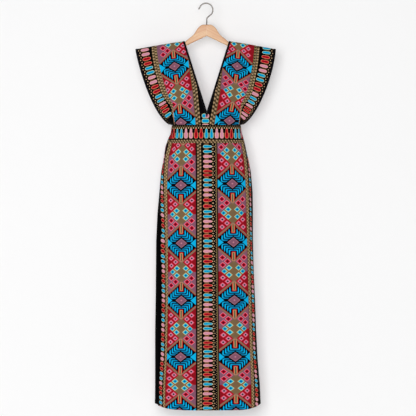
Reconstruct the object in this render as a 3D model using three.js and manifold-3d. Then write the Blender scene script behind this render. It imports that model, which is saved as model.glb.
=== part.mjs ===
// A long sleeveless vest on a wooden hanger. Millimetres, +Z up, the front faces -Y.
// The origin is the inside top of the hanger's hook, where a rod carries it.
import * as THREE from 'three';
import { mergeVertices } from 'three/addons/utils/BufferGeometryUtils.js';
import Module from 'manifold-3d';

// driving dimensions
const seamGap = 0.3; // between neighbouring pieces
const wall = 1.6; // cloth, two layers pressed together
const bodyX = 3.5; // the garment's centre line, beside the hook's own centre
const neckZ = -141.7; // highest points of the cloth; every drop is measured down from here

const shoulder = { neckHalf: 85, drop: 30, curve: 1.15, halfDepth: 10, ridge: 9 };
const vee = { drop: 271 };
const waist = { drop: 318, depth: 72 };
const wing = {
  // bow is how late the armhole edge turns in towards the waist
  left: { waistHalf: 132.5, reach: 136.5, bow: 1.2, sweep: 0.6 },
  right: { waistHalf: 129, reach: 131, bow: 1.45, sweep: 0.65 },
  // above 1 the armhole edges stay off the middle plane; they come together at the waist
  roundness: 1.06,
  waistRoundness: 1.01,
};
const wingSeam = { top: 189.5, bottom: 129, waistHalf: 122, from: 17, over: 220, bow: 1.5, sweep: 0.8 };
const hem = { drop: 1394.5, sideRise: 22.5, leftCurve: 5, rightCurve: 7 };
const slit = { drop: 620, easeOver: 60, openAngle: 0.4 };
const binding = { width: 6, thickness: 0.9, clear: 0.8, reach: 0.6 };

// half widths and half depth of the waistband and of the skirt, from top to bottom
const bandSections = [
  { drop: 318, left: 132.5, right: 129, depth: 72 },
  { drop: 336, left: 135, right: 131, depth: 73 },
  { drop: 352, left: 138, right: 134, depth: 75 },
  { drop: 370, left: 147, right: 140, depth: 78 },
];
const skirtSections = [
  { drop: 370, left: 147, right: 140, depth: 78 },
  { drop: 400, left: 157, right: 147, depth: 83 },
  { drop: 440, left: 163, right: 156, depth: 89 },
  { drop: 495, left: 173, right: 167, depth: 95 },
  { drop: 571, left: 180, right: 174, depth: 98 },
  { drop: 650, left: 187, right: 175, depth: 98 },
  { drop: 755, left: 192, right: 175, depth: 95 },
  { drop: 870, left: 193, right: 178, depth: 92 },
  { drop: 980, left: 194, right: 183, depth: 88 },
  { drop: 1095, left: 196, right: 187, depth: 84 },
  { drop: 1210, left: 196, right: 193, depth: 80 },
  { drop: 1300, left: 196, right: 201, depth: 76 },
  { drop: 1394.5, left: 197, right: 205, depth: 72 },
];
// soft vertical folds: place round the skirt in degrees from its right side seam,
// the front through 90 and the back through 270; negative depth is a trough
const skirtFolds = [
  { at: 24, spread: 11, depth: -6, from: 800 },
  { at: 47, spread: 12, depth: 4, from: 700 },
  { at: 72, spread: 13, depth: -4, from: 950 },
  { at: 101, spread: 14, depth: 3, from: 850 },
  { at: 128, spread: 12, depth: -4, from: 600 },
  { at: 151, spread: 11, depth: 3, from: 900 },
  { at: 203, spread: 12, depth: -6, from: 700 },
  { at: 232, spread: 13, depth: 5, from: 800 },
  { at: 258, spread: 12, depth: -7, from: 600 },
  { at: 284, spread: 14, depth: 5, from: 900 },
  { at: 312, spread: 12, depth: -6, from: 650 },
  { at: 338, spread: 10, depth: 4, from: 800 },
];

const arm = {
  thickness: 12.6,
  topZ: -78.5,
  crownHalf: 14,
  underZ: -118.6,
  end: 212,
  height: 20,
  topClearance: 2,
  edgeRound: 4,
};
const hook = { wireRadius: 2, loopRadius: 27, stemLow: -104, bendLow: -56, tipAngle: 186, sides: 10, steps: 44 };

const colours = {
  cloth: '#151214',
  print: '#7a2c45',
  wingPrint: '#3a2f28',
  band: '#8a6a55',
  binding: '#0a0a0b',
  wood: '#dcb184',
  steel: '#9a9592',
};

// rows down the bodice, as shares of the way from the shoulder line to the waist seam
const bodiceRows = [
  0, 0.002, 0.009, 0.028, 0.09, 0.18, 0.28, 0.38, 0.48, 0.58, 0.68, 0.77, vee.drop / waist.drop, 0.91, 0.955, 1,
];
const bodiceColumns = 7;
const wingColumns = 5;
const ringColumns = 20;

const lerp = THREE.MathUtils.lerp;
const clamp = THREE.MathUtils.clamp;
const smooth = (low, high, value) => THREE.MathUtils.smoothstep(value, low, high);
const steps = (count) => Array.from({ length: count + 1 }, (_, index) => index / count);

const wasm = await Module();
wasm.setup();

function solidOf(geometry) {
  const bare = geometry.clone();
  bare.deleteAttribute('normal');
  bare.deleteAttribute('uv');
  const merged = mergeVertices(bare, 1e-4);
  return new wasm.Manifold(new wasm.Mesh({
    numProp: 3,
    vertProperties: new Float32Array(merged.attributes.position.array),
    triVerts: new Uint32Array(merged.index.array),
  }));
}

function geometryOf(solid) {
  const mesh = solid.getMesh();
  const geometry = new THREE.BufferGeometry();
  geometry.setAttribute('position', new THREE.BufferAttribute(mesh.vertProperties, 3));
  geometry.setIndex(new THREE.BufferAttribute(mesh.triVerts, 1));
  return geometry;
}

function part(name, geometry, colour, roughness, metalness = 0) {
  const material = new THREE.MeshStandardMaterial({ color: colour, roughness, metalness });
  const mesh = new THREE.Mesh(geometry, material);
  mesh.name = name;
  return mesh;
}

// ---- cloth as a wall: outer points in grids, the inner ones moved in along the normal

// Grids are arrays of rows of points. Points at the same place are one corner, so
// grids that share an edge become one wall, and every open edge is closed.
function clothWall(grids, keepSide) {
  const corners = [];
  const indexOf = new Map();
  const corner = (point) => {
    const key = [point.x, point.y, point.z].map((value) => value.toFixed(3)).join();
    if (!indexOf.has(key)) {
      indexOf.set(key, corners.length);
      corners.push(point.clone());
    }
    return indexOf.get(key);
  };
  const triangles = [];
  for (const { rows, flip } of grids) {
    for (let row = 0; row + 1 < rows.length; row += 1) {
      for (let column = 0; column + 1 < rows[row].length; column += 1) {
        const a = corner(rows[row][column]);
        const b = corner(rows[row][column + 1]);
        const c = corner(rows[row + 1][column + 1]);
        const d = corner(rows[row + 1][column]);
        const pair = [[a, d, c], [a, c, b]];
        for (const triangle of pair) {
          if (new Set(triangle).size < 3) continue;
          triangles.push(flip ? [...triangle].reverse() : triangle);
        }
      }
    }
  }
  const normals = corners.map(() => new THREE.Vector3());
  for (const [a, b, c] of triangles) {
    const facing = new THREE.Vector3().subVectors(corners[b], corners[a])
      .cross(new THREE.Vector3().subVectors(corners[c], corners[a]));
    for (const index of [a, b, c]) normals[index].add(facing);
  }
  const count = corners.length;
  const inner = corners.map((point, index) => {
    const moved = point.clone().addScaledVector(normals[index].normalize(), -wall);
    if (keepSide < 0) moved.y = Math.min(moved.y, -seamGap / 2);
    if (keepSide > 0) moved.y = Math.max(moved.y, seamGap / 2);
    return moved;
  });
  const faces = [];
  const edges = new Map();
  for (const [a, b, c] of triangles) {
    faces.push(a, b, c, a + count, c + count, b + count);
    for (const [from, to] of [[a, b], [b, c], [c, a]]) {
      if (edges.has(`${to},${from}`)) edges.delete(`${to},${from}`);
      else edges.set(`${from},${to}`, [from, to]);
    }
  }
  for (const [from, to] of edges.values()) {
    faces.push(to, from, from + count, to, from + count, to + count);
  }
  const geometry = new THREE.BufferGeometry();
  const places = [...corners, ...inner].flatMap((point) => [point.x, point.y, point.z]);
  geometry.setAttribute('position', new THREE.BufferAttribute(new Float32Array(places), 3));
  geometry.setIndex(faces);
  return geometry;
}

// ---- bodice and wings

function wingOf(side) {
  return side < 0 ? wing.left : wing.right;
}

function armholeHalf(side, drop) {
  const { waistHalf, reach, bow, sweep } = wingOf(side);
  const share = clamp((drop - shoulder.drop) / (waist.drop - shoulder.drop), 0, 1);
  return waistHalf + reach * (1 - share ** bow) ** sweep;
}

function seamHalf(drop) {
  const share = (drop - wingSeam.from) / wingSeam.over;
  if (share < 1) {
    const curve = (1 - Math.max(share, 0) ** wingSeam.bow) ** wingSeam.sweep;
    return lerp(wingSeam.bottom, wingSeam.top, curve);
  }
  const low = wingSeam.from + wingSeam.over;
  return lerp(wingSeam.bottom, wingSeam.waistHalf, (drop - low) / (waist.drop - low));
}

function neckHalf(drop) {
  return shoulder.neckHalf * Math.max(1 - drop / vee.drop, 0);
}

function shoulderDrop(side, half) {
  const { waistHalf, reach } = wingOf(side);
  const along = (half - shoulder.neckHalf) / (waistHalf + reach - shoulder.neckHalf);
  return shoulder.drop * clamp(along, 0, 1) ** shoulder.curve;
}

// how far a point of the bodice stands from the middle plane
function bodiceDepth(side, half, drop, row) {
  const out = clamp(half / armholeHalf(side, drop), 0, 1);
  const below = clamp((drop - shoulderDrop(side, half)) / shoulder.ridge, 0, 1);
  const ridge = shoulder.halfDepth * (1 - (1 - below) ** 3) ** (1 / 3);
  const roundness = lerp(wing.roundness, wing.waistRoundness, smooth(0.75, 1, row));
  const low = waist.depth * Math.sqrt(1 - (out / roundness) ** 2);
  return lerp(ridge, low, row);
}

// the four edges that run down each side: neck, wing seam (twice) and armhole
const edgeHalf = {
  neck: (side, drop) => neckHalf(drop),
  seam: (side, drop) => seamHalf(drop),
  armhole: (side, drop) => armholeHalf(side, drop),
};
const edgeTop = {
  neck: () => shoulder.neckHalf,
  seam: () => wingSeam.top,
  armhole: (side) => armholeHalf(side, 0),
};

function edgePoint(edge, side, row) {
  const top = shoulderDrop(side, edgeTop[edge](side));
  const drop = lerp(top, waist.drop - seamGap / 2, row);
  return { half: edgeHalf[edge](side, drop), drop };
}

// a grid between two of those edges; face is -1 at the front and +1 at the back
function bodiceGrid(side, face, [inEdge, inGap], [outEdge, outGap], columns) {
  const rows = bodiceRows.map((row) => {
    const from = edgePoint(inEdge, side, row);
    const to = edgePoint(outEdge, side, row);
    return steps(columns).map((share) => {
      const half = lerp(from.half + (from.half > 0 ? inGap : 0), to.half - outGap, share);
      const ends = [edgeTop[inEdge](side), edgeTop[outEdge](side)];
      const chord = lerp(shoulderDrop(side, ends[0]), shoulderDrop(side, ends[1]), share);
      const bow = shoulderDrop(side, lerp(ends[0], ends[1], share)) - chord;
      const drop = lerp(from.drop, to.drop, share) + (1 - row) * bow;
      const depth = Math.max(bodiceDepth(side, half, drop, row), seamGap / 2);
      return new THREE.Vector3(side * half, face * depth, neckZ - drop);
    });
  });
  return { rows, flip: side * face > 0 };
}

function bodice(face) {
  const halves = [-1, 1].map((side) => (
    bodiceGrid(side, face, ['neck', 0], ['seam', seamGap], bodiceColumns)
  ));
  return clothWall(halves, face);
}

function wingPanel(side, face) {
  const grid = bodiceGrid(side, face, ['seam', seamGap], ['armhole', 0], wingColumns);
  return clothWall([grid], face);
}

// ---- waistband and skirt: rings of sections

function sectionAt(sections, drop) {
  const next = clamp(sections.findIndex((section) => section.drop >= drop), 1, sections.length - 1);
  const above = sections[next - 1];
  const below = sections[next];
  const share = clamp((drop - above.drop) / (below.drop - above.drop), 0, 1);
  return {
    left: lerp(above.left, below.left, share),
    right: lerp(above.right, below.right, share),
    depth: lerp(above.depth, below.depth, share),
  };
}

function foldAt(angle, drop) {
  const degrees = THREE.MathUtils.radToDeg(angle);
  return skirtFolds.reduce((sum, fold) => {
    const near = Math.exp(-(((degrees - fold.at) / fold.spread) ** 2));
    return sum + fold.depth * near * smooth(fold.from, hem.drop, drop);
  }, 0);
}

// angle 0 is the right side seam, 90 degrees the middle of the front
function ringPoint(sections, angle, drop, face) {
  const { left, right, depth } = sectionAt(sections, drop);
  const half = Math.cos(angle) < 0 ? left : right;
  const out = Math.abs(Math.sin(angle));
  const y = face * Math.max((depth + foldAt(angle, drop)) * out, seamGap / 2);
  return new THREE.Vector3(half * Math.cos(angle), y, neckZ - drop);
}

function hemDrop(angle) {
  const across = Math.abs(Math.cos(angle));
  return hem.drop - hem.sideRise * across ** (Math.cos(angle) < 0 ? hem.leftCurve : hem.rightCurve);
}

function ringPanel(sections, face, top, bottom, rowDrops, slitted) {
  const rows = rowDrops.map((nominal) => {
    const share = (nominal - rowDrops[0]) / (rowDrops[rowDrops.length - 1] - rowDrops[0]);
    const opened = slitted ? slit.openAngle * smooth(0, slit.easeOver, nominal - slit.drop) : 0;
    return steps(ringColumns).map((column) => {
      const turn = face < 0 ? lerp(0, Math.PI - opened, column) : lerp(2 * Math.PI, Math.PI, column);
      const drop = lerp(top, bottom(turn), share);
      return ringPoint(sections, turn, drop, face);
    });
  });
  return clothWall([{ rows, flip: face < 0 }], face);
}

const bandRows = bandSections.map((section, index) => {
  if (index === 0) return section.drop + seamGap / 2;
  return index === bandSections.length - 1 ? section.drop - seamGap / 2 : section.drop;
});
const skirtRows = [
  ...skirtSections.slice(0, 6).map((section) => section.drop),
  ...[slit.drop + slit.easeOver, 755, 835, 915, 1000, 1085, 1170, 1250, 1325, hem.drop],
].sort((one, other) => one - other);

function waistband(face) {
  const bottom = () => bandSections[bandSections.length - 1].drop - seamGap / 2;
  return ringPanel(bandSections, face, bandRows[0], bottom, bandRows, false);
}

function skirt(face) {
  return ringPanel(skirtSections, face, skirtRows[0] + seamGap / 2, hemDrop, skirtRows, face < 0);
}

// ---- bindings: a folded strip round an edge, clear of the panel on both faces

// stations hold the edge point, the direction into the panel, the outward normal
// and the direction along the edge
function foldedStrip(stations) {
  const { clear } = binding;
  const out = clear + binding.thickness;
  const far = binding.width;
  const section = [
    [far, clear],
    [far, out],
    [-out, out],
    [-out, -wall - out],
    [far, -wall - out],
    [far, -wall - clear],
    [-clear, -wall - clear],
    [-clear, clear],
  ];
  const rings = stations.map(({ point, inward, normal, cut }) => section.map(([into, lift]) => {
    const place = point.clone().addScaledVector(inward, into).addScaledVector(normal, lift);
    return cut ? cut(place) : place;
  }));
  const sides = section.length;
  const faces = [];
  for (let ring = 0; ring + 1 < rings.length; ring += 1) {
    for (let side = 0; side < sides; side += 1) {
      const next = (side + 1) % sides;
      const a = ring * sides + side;
      const b = ring * sides + next;
      faces.push(a, b, b + sides, a, b + sides, a + sides);
    }
  }
  const outline = section.map(([into, lift]) => new THREE.Vector2(into, lift));
  const last = (rings.length - 1) * sides;
  for (const [a, b, c] of THREE.ShapeUtils.triangulateShape(outline, [])) {
    faces.push(a, c, b, last + a, last + b, last + c);
  }
  const geometry = new THREE.BufferGeometry();
  const places = rings.flat().flatMap((point) => [point.x, point.y, point.z]);
  geometry.setAttribute('position', new THREE.BufferAttribute(new Float32Array(places), 3));
  geometry.setIndex(faces);
  return geometry;
}

// 1 where the way into the panel, its normal and the way along the edge are right-handed
const turnOf = (side, edge) => (edge === 'neck' ? -side : side);

// the armhole's strip ends just above the waist seam
function shortenLast(rows) {
  const last = rows.length - 1;
  rows[last] = rows[last].map((point, column) => rows[last - 1][column].clone().lerp(point, binding.reach));
}

// an edge's stations, from low at the front, over the shoulder, to low at the back
function edgeStations(side, edge, toEdge, rows) {
  const grids = [-1, 1].map((face) => {
    const pair = edge === 'neck' ? [['neck', 0], ['seam', 0]] : [['armhole', 0], ['seam', 0]];
    const grid = bodiceGrid(side, face, pair[0], pair[1], toEdge);
    if (edge === 'armhole') shortenLast(grid.rows);
    return grid;
  });
  const order = [
    ...rows.slice().reverse().map((row) => ({ grid: grids[0], row })),
    ...rows.slice(1).map((row) => ({ grid: grids[1], row })),
  ];
  const points = order.map(({ grid, row }) => grid.rows[row][0].clone());
  const ridge = rows.length - 1;
  points[ridge].y = 0;
  return order.map(({ grid, row }, index) => {
    const before = points[Math.max(index - 1, 0)];
    const after = points[Math.min(index + 1, points.length - 1)];
    const along = after.clone().sub(before).normalize();
    // the strip lies along the panel's own rows, measured square to the edge
    const across = grid.rows[row].map((point) => point.clone().sub(grid.rows[row][0]));
    const lean = Math.sqrt(1 - (across[1].clone().normalize().dot(along)) ** 2);
    const reach = across.find((way) => way.length() * lean >= binding.width) ?? across[across.length - 1];
    const inward = reach.clone().normalize().divideScalar(lean);
    const normal = new THREE.Vector3().crossVectors(along, inward).multiplyScalar(turnOf(side, edge));
    return { point: points[index], inward, normal: normal.normalize(), along };
  });
}

function stripFor(side, edge) {
  const keep = bodiceRows.map((_, index) => index)
    .filter((index) => edge === 'armhole' || bodiceRows[index] <= vee.drop / waist.drop);
  const stations = edgeStations(side, edge, edge === 'neck' ? bodiceColumns : wingColumns, keep);
  if (edge === 'neck') {
    for (const index of [0, stations.length - 1]) {
      const { along } = stations[index];
      const straight = index === 0
        ? stations[1].point.clone().sub(stations[0].point).normalize()
        : along;
      stations[index].cut = (place) => {
        const reach = (side * seamGap / 2 - place.x) / straight.x;
        return place.clone().addScaledVector(straight, reach);
      };
    }
  }
  const geometry = foldedStrip(stations);
  if (turnOf(side, edge) < 0) {
    const index = geometry.index.array;
    for (let corner = 0; corner < index.length; corner += 3) {
      [index[corner + 1], index[corner + 2]] = [index[corner + 2], index[corner + 1]];
    }
  }
  return geometry;
}

// ---- hanger

function armOutline() {
  const under = (half) => neckZ - shoulderDrop(1, half) - wall - arm.topClearance;
  const outline = new THREE.Shape();
  outline.moveTo(-6, arm.underZ);
  outline.lineTo(0, arm.underZ);
  outline.lineTo(62, -151);
  outline.quadraticCurveTo(84, -163.5, 112, under(112) - arm.height);
  outline.lineTo(arm.end - 12, under(arm.end - 12) - arm.height + 3);
  outline.quadraticCurveTo(arm.end, under(arm.end) - arm.height + 3, arm.end, under(arm.end) - 9);
  outline.quadraticCurveTo(arm.end, under(arm.end), arm.end - 12, under(arm.end - 12));
  for (const half of [175, 150, 125, 105, 83]) outline.lineTo(half, under(half));
  outline.bezierCurveTo(70, -131, 56, -124, 46, -109);
  outline.bezierCurveTo(38, -97, 38, arm.topZ, arm.crownHalf, arm.topZ);
  outline.lineTo(-6, arm.topZ);
  outline.closePath();
  return outline;
}

function hangerArm(side, stemHole) {
  const blank = new THREE.ExtrudeGeometry(armOutline(), {
    depth: arm.thickness - 2 * arm.edgeRound,
    curveSegments: 5,
    bevelEnabled: true,
    bevelThickness: arm.edgeRound,
    bevelSize: arm.edgeRound,
    bevelOffset: -arm.edgeRound,
    bevelSegments: 3,
  });
  blank.translate(0, 0, arm.edgeRound - arm.thickness / 2);
  blank.rotateX(Math.PI / 2);
  const beyond = new THREE.BoxGeometry(60, 60, 300);
  beyond.translate(seamGap / 2 - 30, 0, arm.topZ);
  let solid = solidOf(blank).subtract(solidOf(beyond));
  if (side < 0) solid = solid.mirror([1, 0, 0]);
  return geometryOf(solid.subtract(stemHole));
}

function hookPath() {
  const centre = { x: -bodyX, z: -(hook.loopRadius - hook.wireRadius) };
  const onLoop = (degrees) => {
    const angle = THREE.MathUtils.degToRad(degrees);
    return new THREE.Vector3(
      centre.x + hook.loopRadius * Math.cos(angle),
      0,
      centre.z + hook.loopRadius * Math.sin(angle),
    );
  };
  const path = new THREE.CurvePath();
  const arc = steps(16).map((share) => onLoop(lerp(hook.tipAngle, -42, share)));
  path.add(new THREE.CatmullRomCurve3(arc));
  const from = arc[arc.length - 1];
  const low = new THREE.Vector3(0, 0, hook.bendLow);
  path.add(new THREE.CubicBezierCurve3(
    from,
    new THREE.Vector3(from.x - 7, 0, from.z - 7.8),
    new THREE.Vector3(0, 0, hook.bendLow + 9),
    low,
  ));
  path.add(new THREE.LineCurve3(low, new THREE.Vector3(0, 0, hook.stemLow)));
  return path;
}

function hangerHook() {
  const wire = new THREE.Shape();
  wire.absarc(0, 0, hook.wireRadius, 0, 2 * Math.PI);
  return new THREE.ExtrudeGeometry(wire, {
    steps: hook.steps,
    curveSegments: hook.sides / 2,
    extrudePath: hookPath(),
  });
}

const stem = new THREE.CylinderGeometry(hook.wireRadius + seamGap, hook.wireRadius + seamGap, 60, 16);
stem.rotateX(Math.PI / 2);
stem.translate(0, 0, hook.stemLow - seamGap + 30);
const stemHole = solidOf(stem);

const group = new THREE.Group();
group.position.x = bodyX;
group.add(
  part('hanger_hook', hangerHook(), colours.steel, 0.35, 1),
  part('hanger_arm_left', hangerArm(-1, stemHole), colours.wood, 0.5),
  part('hanger_arm_right', hangerArm(1, stemHole), colours.wood, 0.5),
  part('bodice_front', bodice(-1), colours.print, 0.85),
  part('bodice_back', bodice(1), colours.print, 0.85),
  part('wing_front_left', wingPanel(-1, -1), colours.wingPrint, 0.85),
  part('wing_front_right', wingPanel(1, -1), colours.wingPrint, 0.85),
  part('wing_back_left', wingPanel(-1, 1), colours.wingPrint, 0.85),
  part('wing_back_right', wingPanel(1, 1), colours.wingPrint, 0.85),
  part('neck_binding_left', stripFor(-1, 'neck'), colours.binding, 0.7),
  part('neck_binding_right', stripFor(1, 'neck'), colours.binding, 0.7),
  part('armhole_binding_left', stripFor(-1, 'armhole'), colours.binding, 0.7),
  part('armhole_binding_right', stripFor(1, 'armhole'), colours.binding, 0.7),
  part('waistband_front', waistband(-1), colours.band, 0.85),
  part('waistband_back', waistband(1), colours.band, 0.85),
  part('skirt_front', skirt(-1), colours.print, 0.85),
  part('skirt_back', skirt(1), colours.print, 0.85),
);

export default group;
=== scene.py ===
# A long sleeveless vest with winged shoulders, hanging on a wooden hanger.
# Metres, +Z up, the front faces -Y; the origin is the inside top of the hanger's hook.
import math

import bmesh
import bpy
import numpy as np
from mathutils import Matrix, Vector, noise


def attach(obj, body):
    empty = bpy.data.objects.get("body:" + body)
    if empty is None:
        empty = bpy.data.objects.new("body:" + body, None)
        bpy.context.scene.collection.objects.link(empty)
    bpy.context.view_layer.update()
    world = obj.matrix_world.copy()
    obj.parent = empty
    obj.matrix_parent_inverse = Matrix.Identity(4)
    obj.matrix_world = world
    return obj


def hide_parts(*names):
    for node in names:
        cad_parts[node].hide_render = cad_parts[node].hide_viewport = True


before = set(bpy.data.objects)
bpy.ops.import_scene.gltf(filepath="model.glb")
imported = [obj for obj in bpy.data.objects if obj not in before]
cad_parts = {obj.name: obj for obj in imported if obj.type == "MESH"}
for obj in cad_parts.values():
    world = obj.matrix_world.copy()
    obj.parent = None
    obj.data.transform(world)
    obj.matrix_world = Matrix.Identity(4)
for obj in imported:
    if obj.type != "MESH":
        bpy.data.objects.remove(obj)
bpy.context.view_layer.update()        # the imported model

view = {"centre": (0.00796, -0.7735), "distance": 12.0, "width": 1.5766, "sensor": 36}


def placed(name, data):
    # a new object in the scene
    thing = bpy.data.objects.new(name, data)
    bpy.context.collection.objects.link(thing)
    return thing


def makeCamera():
    lens = bpy.data.cameras.new("camera")
    lens.sensor_width = view["sensor"]
    lens.lens = view["sensor"] * view["distance"] / view["width"]
    lens.clip_end = 100
    camera = placed("camera", lens)
    camera.location = (view["centre"][0], -view["distance"], view["centre"][1])
    camera.rotation_euler = (math.radians(90), 0, 0)
    bpy.context.scene.camera = camera
    bpy.context.scene.view_settings.view_transform = "Standard"


makeCamera()
print("camera placed")


def lerp(low, high, share):
    return low + (high - low) * share


def clamp(value, low=0.0, high=1.0):
    return max(low, min(high, value))


def smooth(low, high, value):
    share = clamp((value - low) / (high - low))
    return share * share * (3 - 2 * share)


def soften(x, y, z, seed):
    # slow unevenness between -1 and 1, the same on each run
    return noise.noise(Vector((x, y, z + 17.3 * seed)))


def ink(code, strength=1.0):
    # a dye's colour from its hex code
    def linear(value):
        return value / 12.92 if value <= 0.04045 else ((value + 0.055) / 1.055) ** 2.4
    parts = [int(code[place:place + 2], 16) / 255 for place in (1, 3, 5)]
    return tuple(min(linear(value) * strength, 1.0) for value in parts) + (1.0,)


class Wire:
    # a node's output that can be added, multiplied and compared
    def __init__(self, tree, socket):
        self.tree = tree
        self.socket = socket

    def math(self, operation, *others, clamped=False):
        return mathNode(self.tree, operation, self, *others, clamped=clamped)

    def __add__(self, other):
        return self.math("ADD", other)

    def __sub__(self, other):
        return self.math("SUBTRACT", other)

    def __rsub__(self, other):
        return mathNode(self.tree, "SUBTRACT", other, self)

    def __mul__(self, other):
        return self.math("MULTIPLY", other)

    def __truediv__(self, other):
        return self.math("DIVIDE", other)

    __radd__ = __add__
    __rmul__ = __mul__

    def size(self):
        return self.math("ABSOLUTE")

    def part(self):
        return self.math("FRACT")

    def least(self, other):
        return self.math("MINIMUM", other)

    def most(self, other):
        return self.math("MAXIMUM", other)

    def above(self, limit, soft=0.6):
        # 1 where it is over the limit, with a soft edge
        if isinstance(limit, Wire):
            return (self - limit).math("MULTIPLY_ADD", 1 / soft, 0.5, clamped=True)
        return self.math("MULTIPLY_ADD", 1 / soft, 0.5 - limit / soft, clamped=True)

    def below(self, limit, soft=0.6):
        return self.above(limit, -soft)

    def between(self, low, high, soft=0.6):
        return (self - (low + high) / 2).size().below((high - low) / 2, soft)

    def wrapped(self, period):
        # the distance from the nearest whole multiple of the period, with its sign
        return ((self / period + 0.5).part() - 0.5) * period

    def into(self, socket):
        self.tree.links.new(self.socket, socket)


def feed(value, socket):
    # links a wire, or sets a number, a colour or a dye by its name
    if isinstance(value, Wire):
        value.into(socket)
    else:
        socket.default_value = dye[value] if isinstance(value, str) else value


def mathNode(tree, operation, *values, clamped=False):
    node = tree.nodes.new("ShaderNodeMath")
    node.operation = operation
    node.use_clamp = clamped
    for place, value in enumerate(values):
        feed(value, node.inputs[place])
    return Wire(tree, node.outputs[0])


def paint(mask, under, over):
    # over where the mask is 1, under where it is 0
    node = mask.tree.nodes.new("ShaderNodeMix")
    node.data_type = "RGBA"
    feed(mask, node.inputs[0])
    feed(under, node.inputs[6])
    feed(over, node.inputs[7])
    return Wire(mask.tree, node.outputs[2])


def layers(colour, *steps):
    # lays one colour after another, each where its mask is 1
    for mask, over in steps:
        colour = paint(mask, colour, over)
    return colour


def rings(reach, colour, *steps):
    # nested shapes: each step is a limit, a soft edge and the colour inside
    return layers(colour, *((reach.below(limit, soft), over) for limit, soft, over in steps))


def newGroup(name, inputs, outputs=("Colour",)):
    # inputs are numbers or names of dyes
    tree = bpy.data.node_groups.new(name, "ShaderNodeTree")
    for label, value in inputs.items():
        kind = "NodeSocketColor" if isinstance(value, str) else "NodeSocketFloat"
        feed(value, tree.interface.new_socket(name=label, in_out="INPUT", socket_type=kind))
    for label in outputs:
        kind = "NodeSocketColor" if label == "Colour" else "NodeSocketFloat"
        tree.interface.new_socket(name=label, in_out="OUTPUT", socket_type=kind)
    source = tree.nodes.new("NodeGroupInput")
    sink = tree.nodes.new("NodeGroupOutput")
    return tree, {label: Wire(tree, source.outputs[label]) for label in inputs}, sink.inputs


def useGroup(tree, name, **values):
    # places a group; inputs are named in camelCase here and in plain words on the node
    node = tree.nodes.new("ShaderNodeGroup")
    node.node_tree = groups[name]
    labels = {label.replace(" ", "").lower(): label for label in node.inputs.keys()}
    for label, value in values.items():
        feed(value, node.inputs[labels[label.lower()]])
    return {label: Wire(tree, node.outputs[label]) for label in node.outputs.keys()}


def printed(tree, name, **values):
    # a motif's colour
    return useGroup(tree, name, **values)["Colour"]


def adjust(node, settings):
    for label, value in settings.items():
        node.inputs[label].default_value = value


def speckle(tree, scale, detail=2, roughness=0.5, place=None):
    # noise from 0 to 1, in the object's own metres unless a place is given
    node = tree.nodes.new("ShaderNodeTexNoise")
    adjust(node, {"Scale": scale, "Detail": detail, "Roughness": roughness})
    tree.links.new(place or tree.nodes.new("ShaderNodeTexCoord").outputs["Object"], node.inputs["Vector"])
    return Wire(tree, node.outputs[0])


def addBump(tree, shader, height, strength, distance):
    node = tree.nodes.new("ShaderNodeBump")
    adjust(node, {"Strength": strength, "Distance": distance})
    height.into(node.inputs["Height"])
    tree.links.new(node.outputs[0], shader.inputs["Normal"])


# the print, charted in millimetres of cloth
mm = 1000         # in a metre
light = 0.92      # how bright a dye is laid, so that it renders as its code
dye = {name: ink(code, light) for name, code in {
    "black": "#030203", "cyan": "#00B0E8", "blue": "#0A84B4", "navy": "#051C36", "azure": "#0090C6",
    "deepBlue": "#004C98", "sky": "#08ACDE", "teal": "#38C0BC", "cream": "#DCCE9C", "ruby": "#B40C22",
    "crimson": "#8A121E", "wine": "#5C0A18", "red": "#D81C26", "brick": "#A61E12", "scarlet": "#D0163C",
    "pink": "#E8A0AC", "rose": "#C8889E", "hotPink": "#D24060", "mauve": "#805266", "lilac": "#C48EA6",
    "blush": "#A2727F", "dusk": "#7A4C63", "olive": "#765F44", "moss": "#3E4C42", "umber": "#8A5A34",
    "taupe": "#856854", "sand": "#AE9160", "reed": "#85704A", "tan": "#D6A27A", "gold": "#C8A67E",
    "bronze": "#6A583A",
}.items()}

motif = {
    "slope": 0.782, "interior": 65.4, "redLine": 68.0, "band": 76.0,        # a medallion's slanted border
    "legInner": 17.0, "legPitch": 9.35, "armTop": 29.2, "armPitch": 7.2, "stroke": 0.255, "legCut": 62.0,
    "heart": (24.2, 17.4), "sideTip": 39.6, "sideRise": 0.74, "sideRim": 3.6,
    "lattice": (49.0, 41.8), "latticeDiamond": (13.4, 10.6), "cornerDiamond": (12.6, 10.4), "hatch": 4.4,
    "latticeSpots": [(19.2, 13.3), (37.8, 0.0)],                     # from the lattice's centre
    "cornerSpots": [(43.5, 23.7), (24.7, 37.4), (44.5, 51.3)],
    # the bar's nested colours: half width, start, end and soft edge
    "bar": [(11.6, 32.1, 62, 0.8, "black"), (8.2, 34.5, 64, 0.8, "red"), (5.5, 36.9, 64, 0.6, "sand"),
            (2.2, 38.9, 66, 0.6, "moss")],
}
halfRepeat = 108.0      # from a medallion to the next lattice
beadPitch = 18.0
beadCycle = 6           # two blues, two pinks, two reds
braidWidth = 20.0       # beside the wing seams


def nearestDiamond(across, down, kind):
    # 0 at the centre of the nearest diamond, 1 on its outline
    halfWidth, halfHeight = motif[kind + "Diamond"]
    nearest = None
    for spotAcross, spotDown in motif[kind + "Spots"]:
        reach = (across - spotAcross).size() / halfWidth + (down - spotDown).size() / halfHeight
        nearest = reach if nearest is None else nearest.least(reach)
    return nearest


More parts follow.
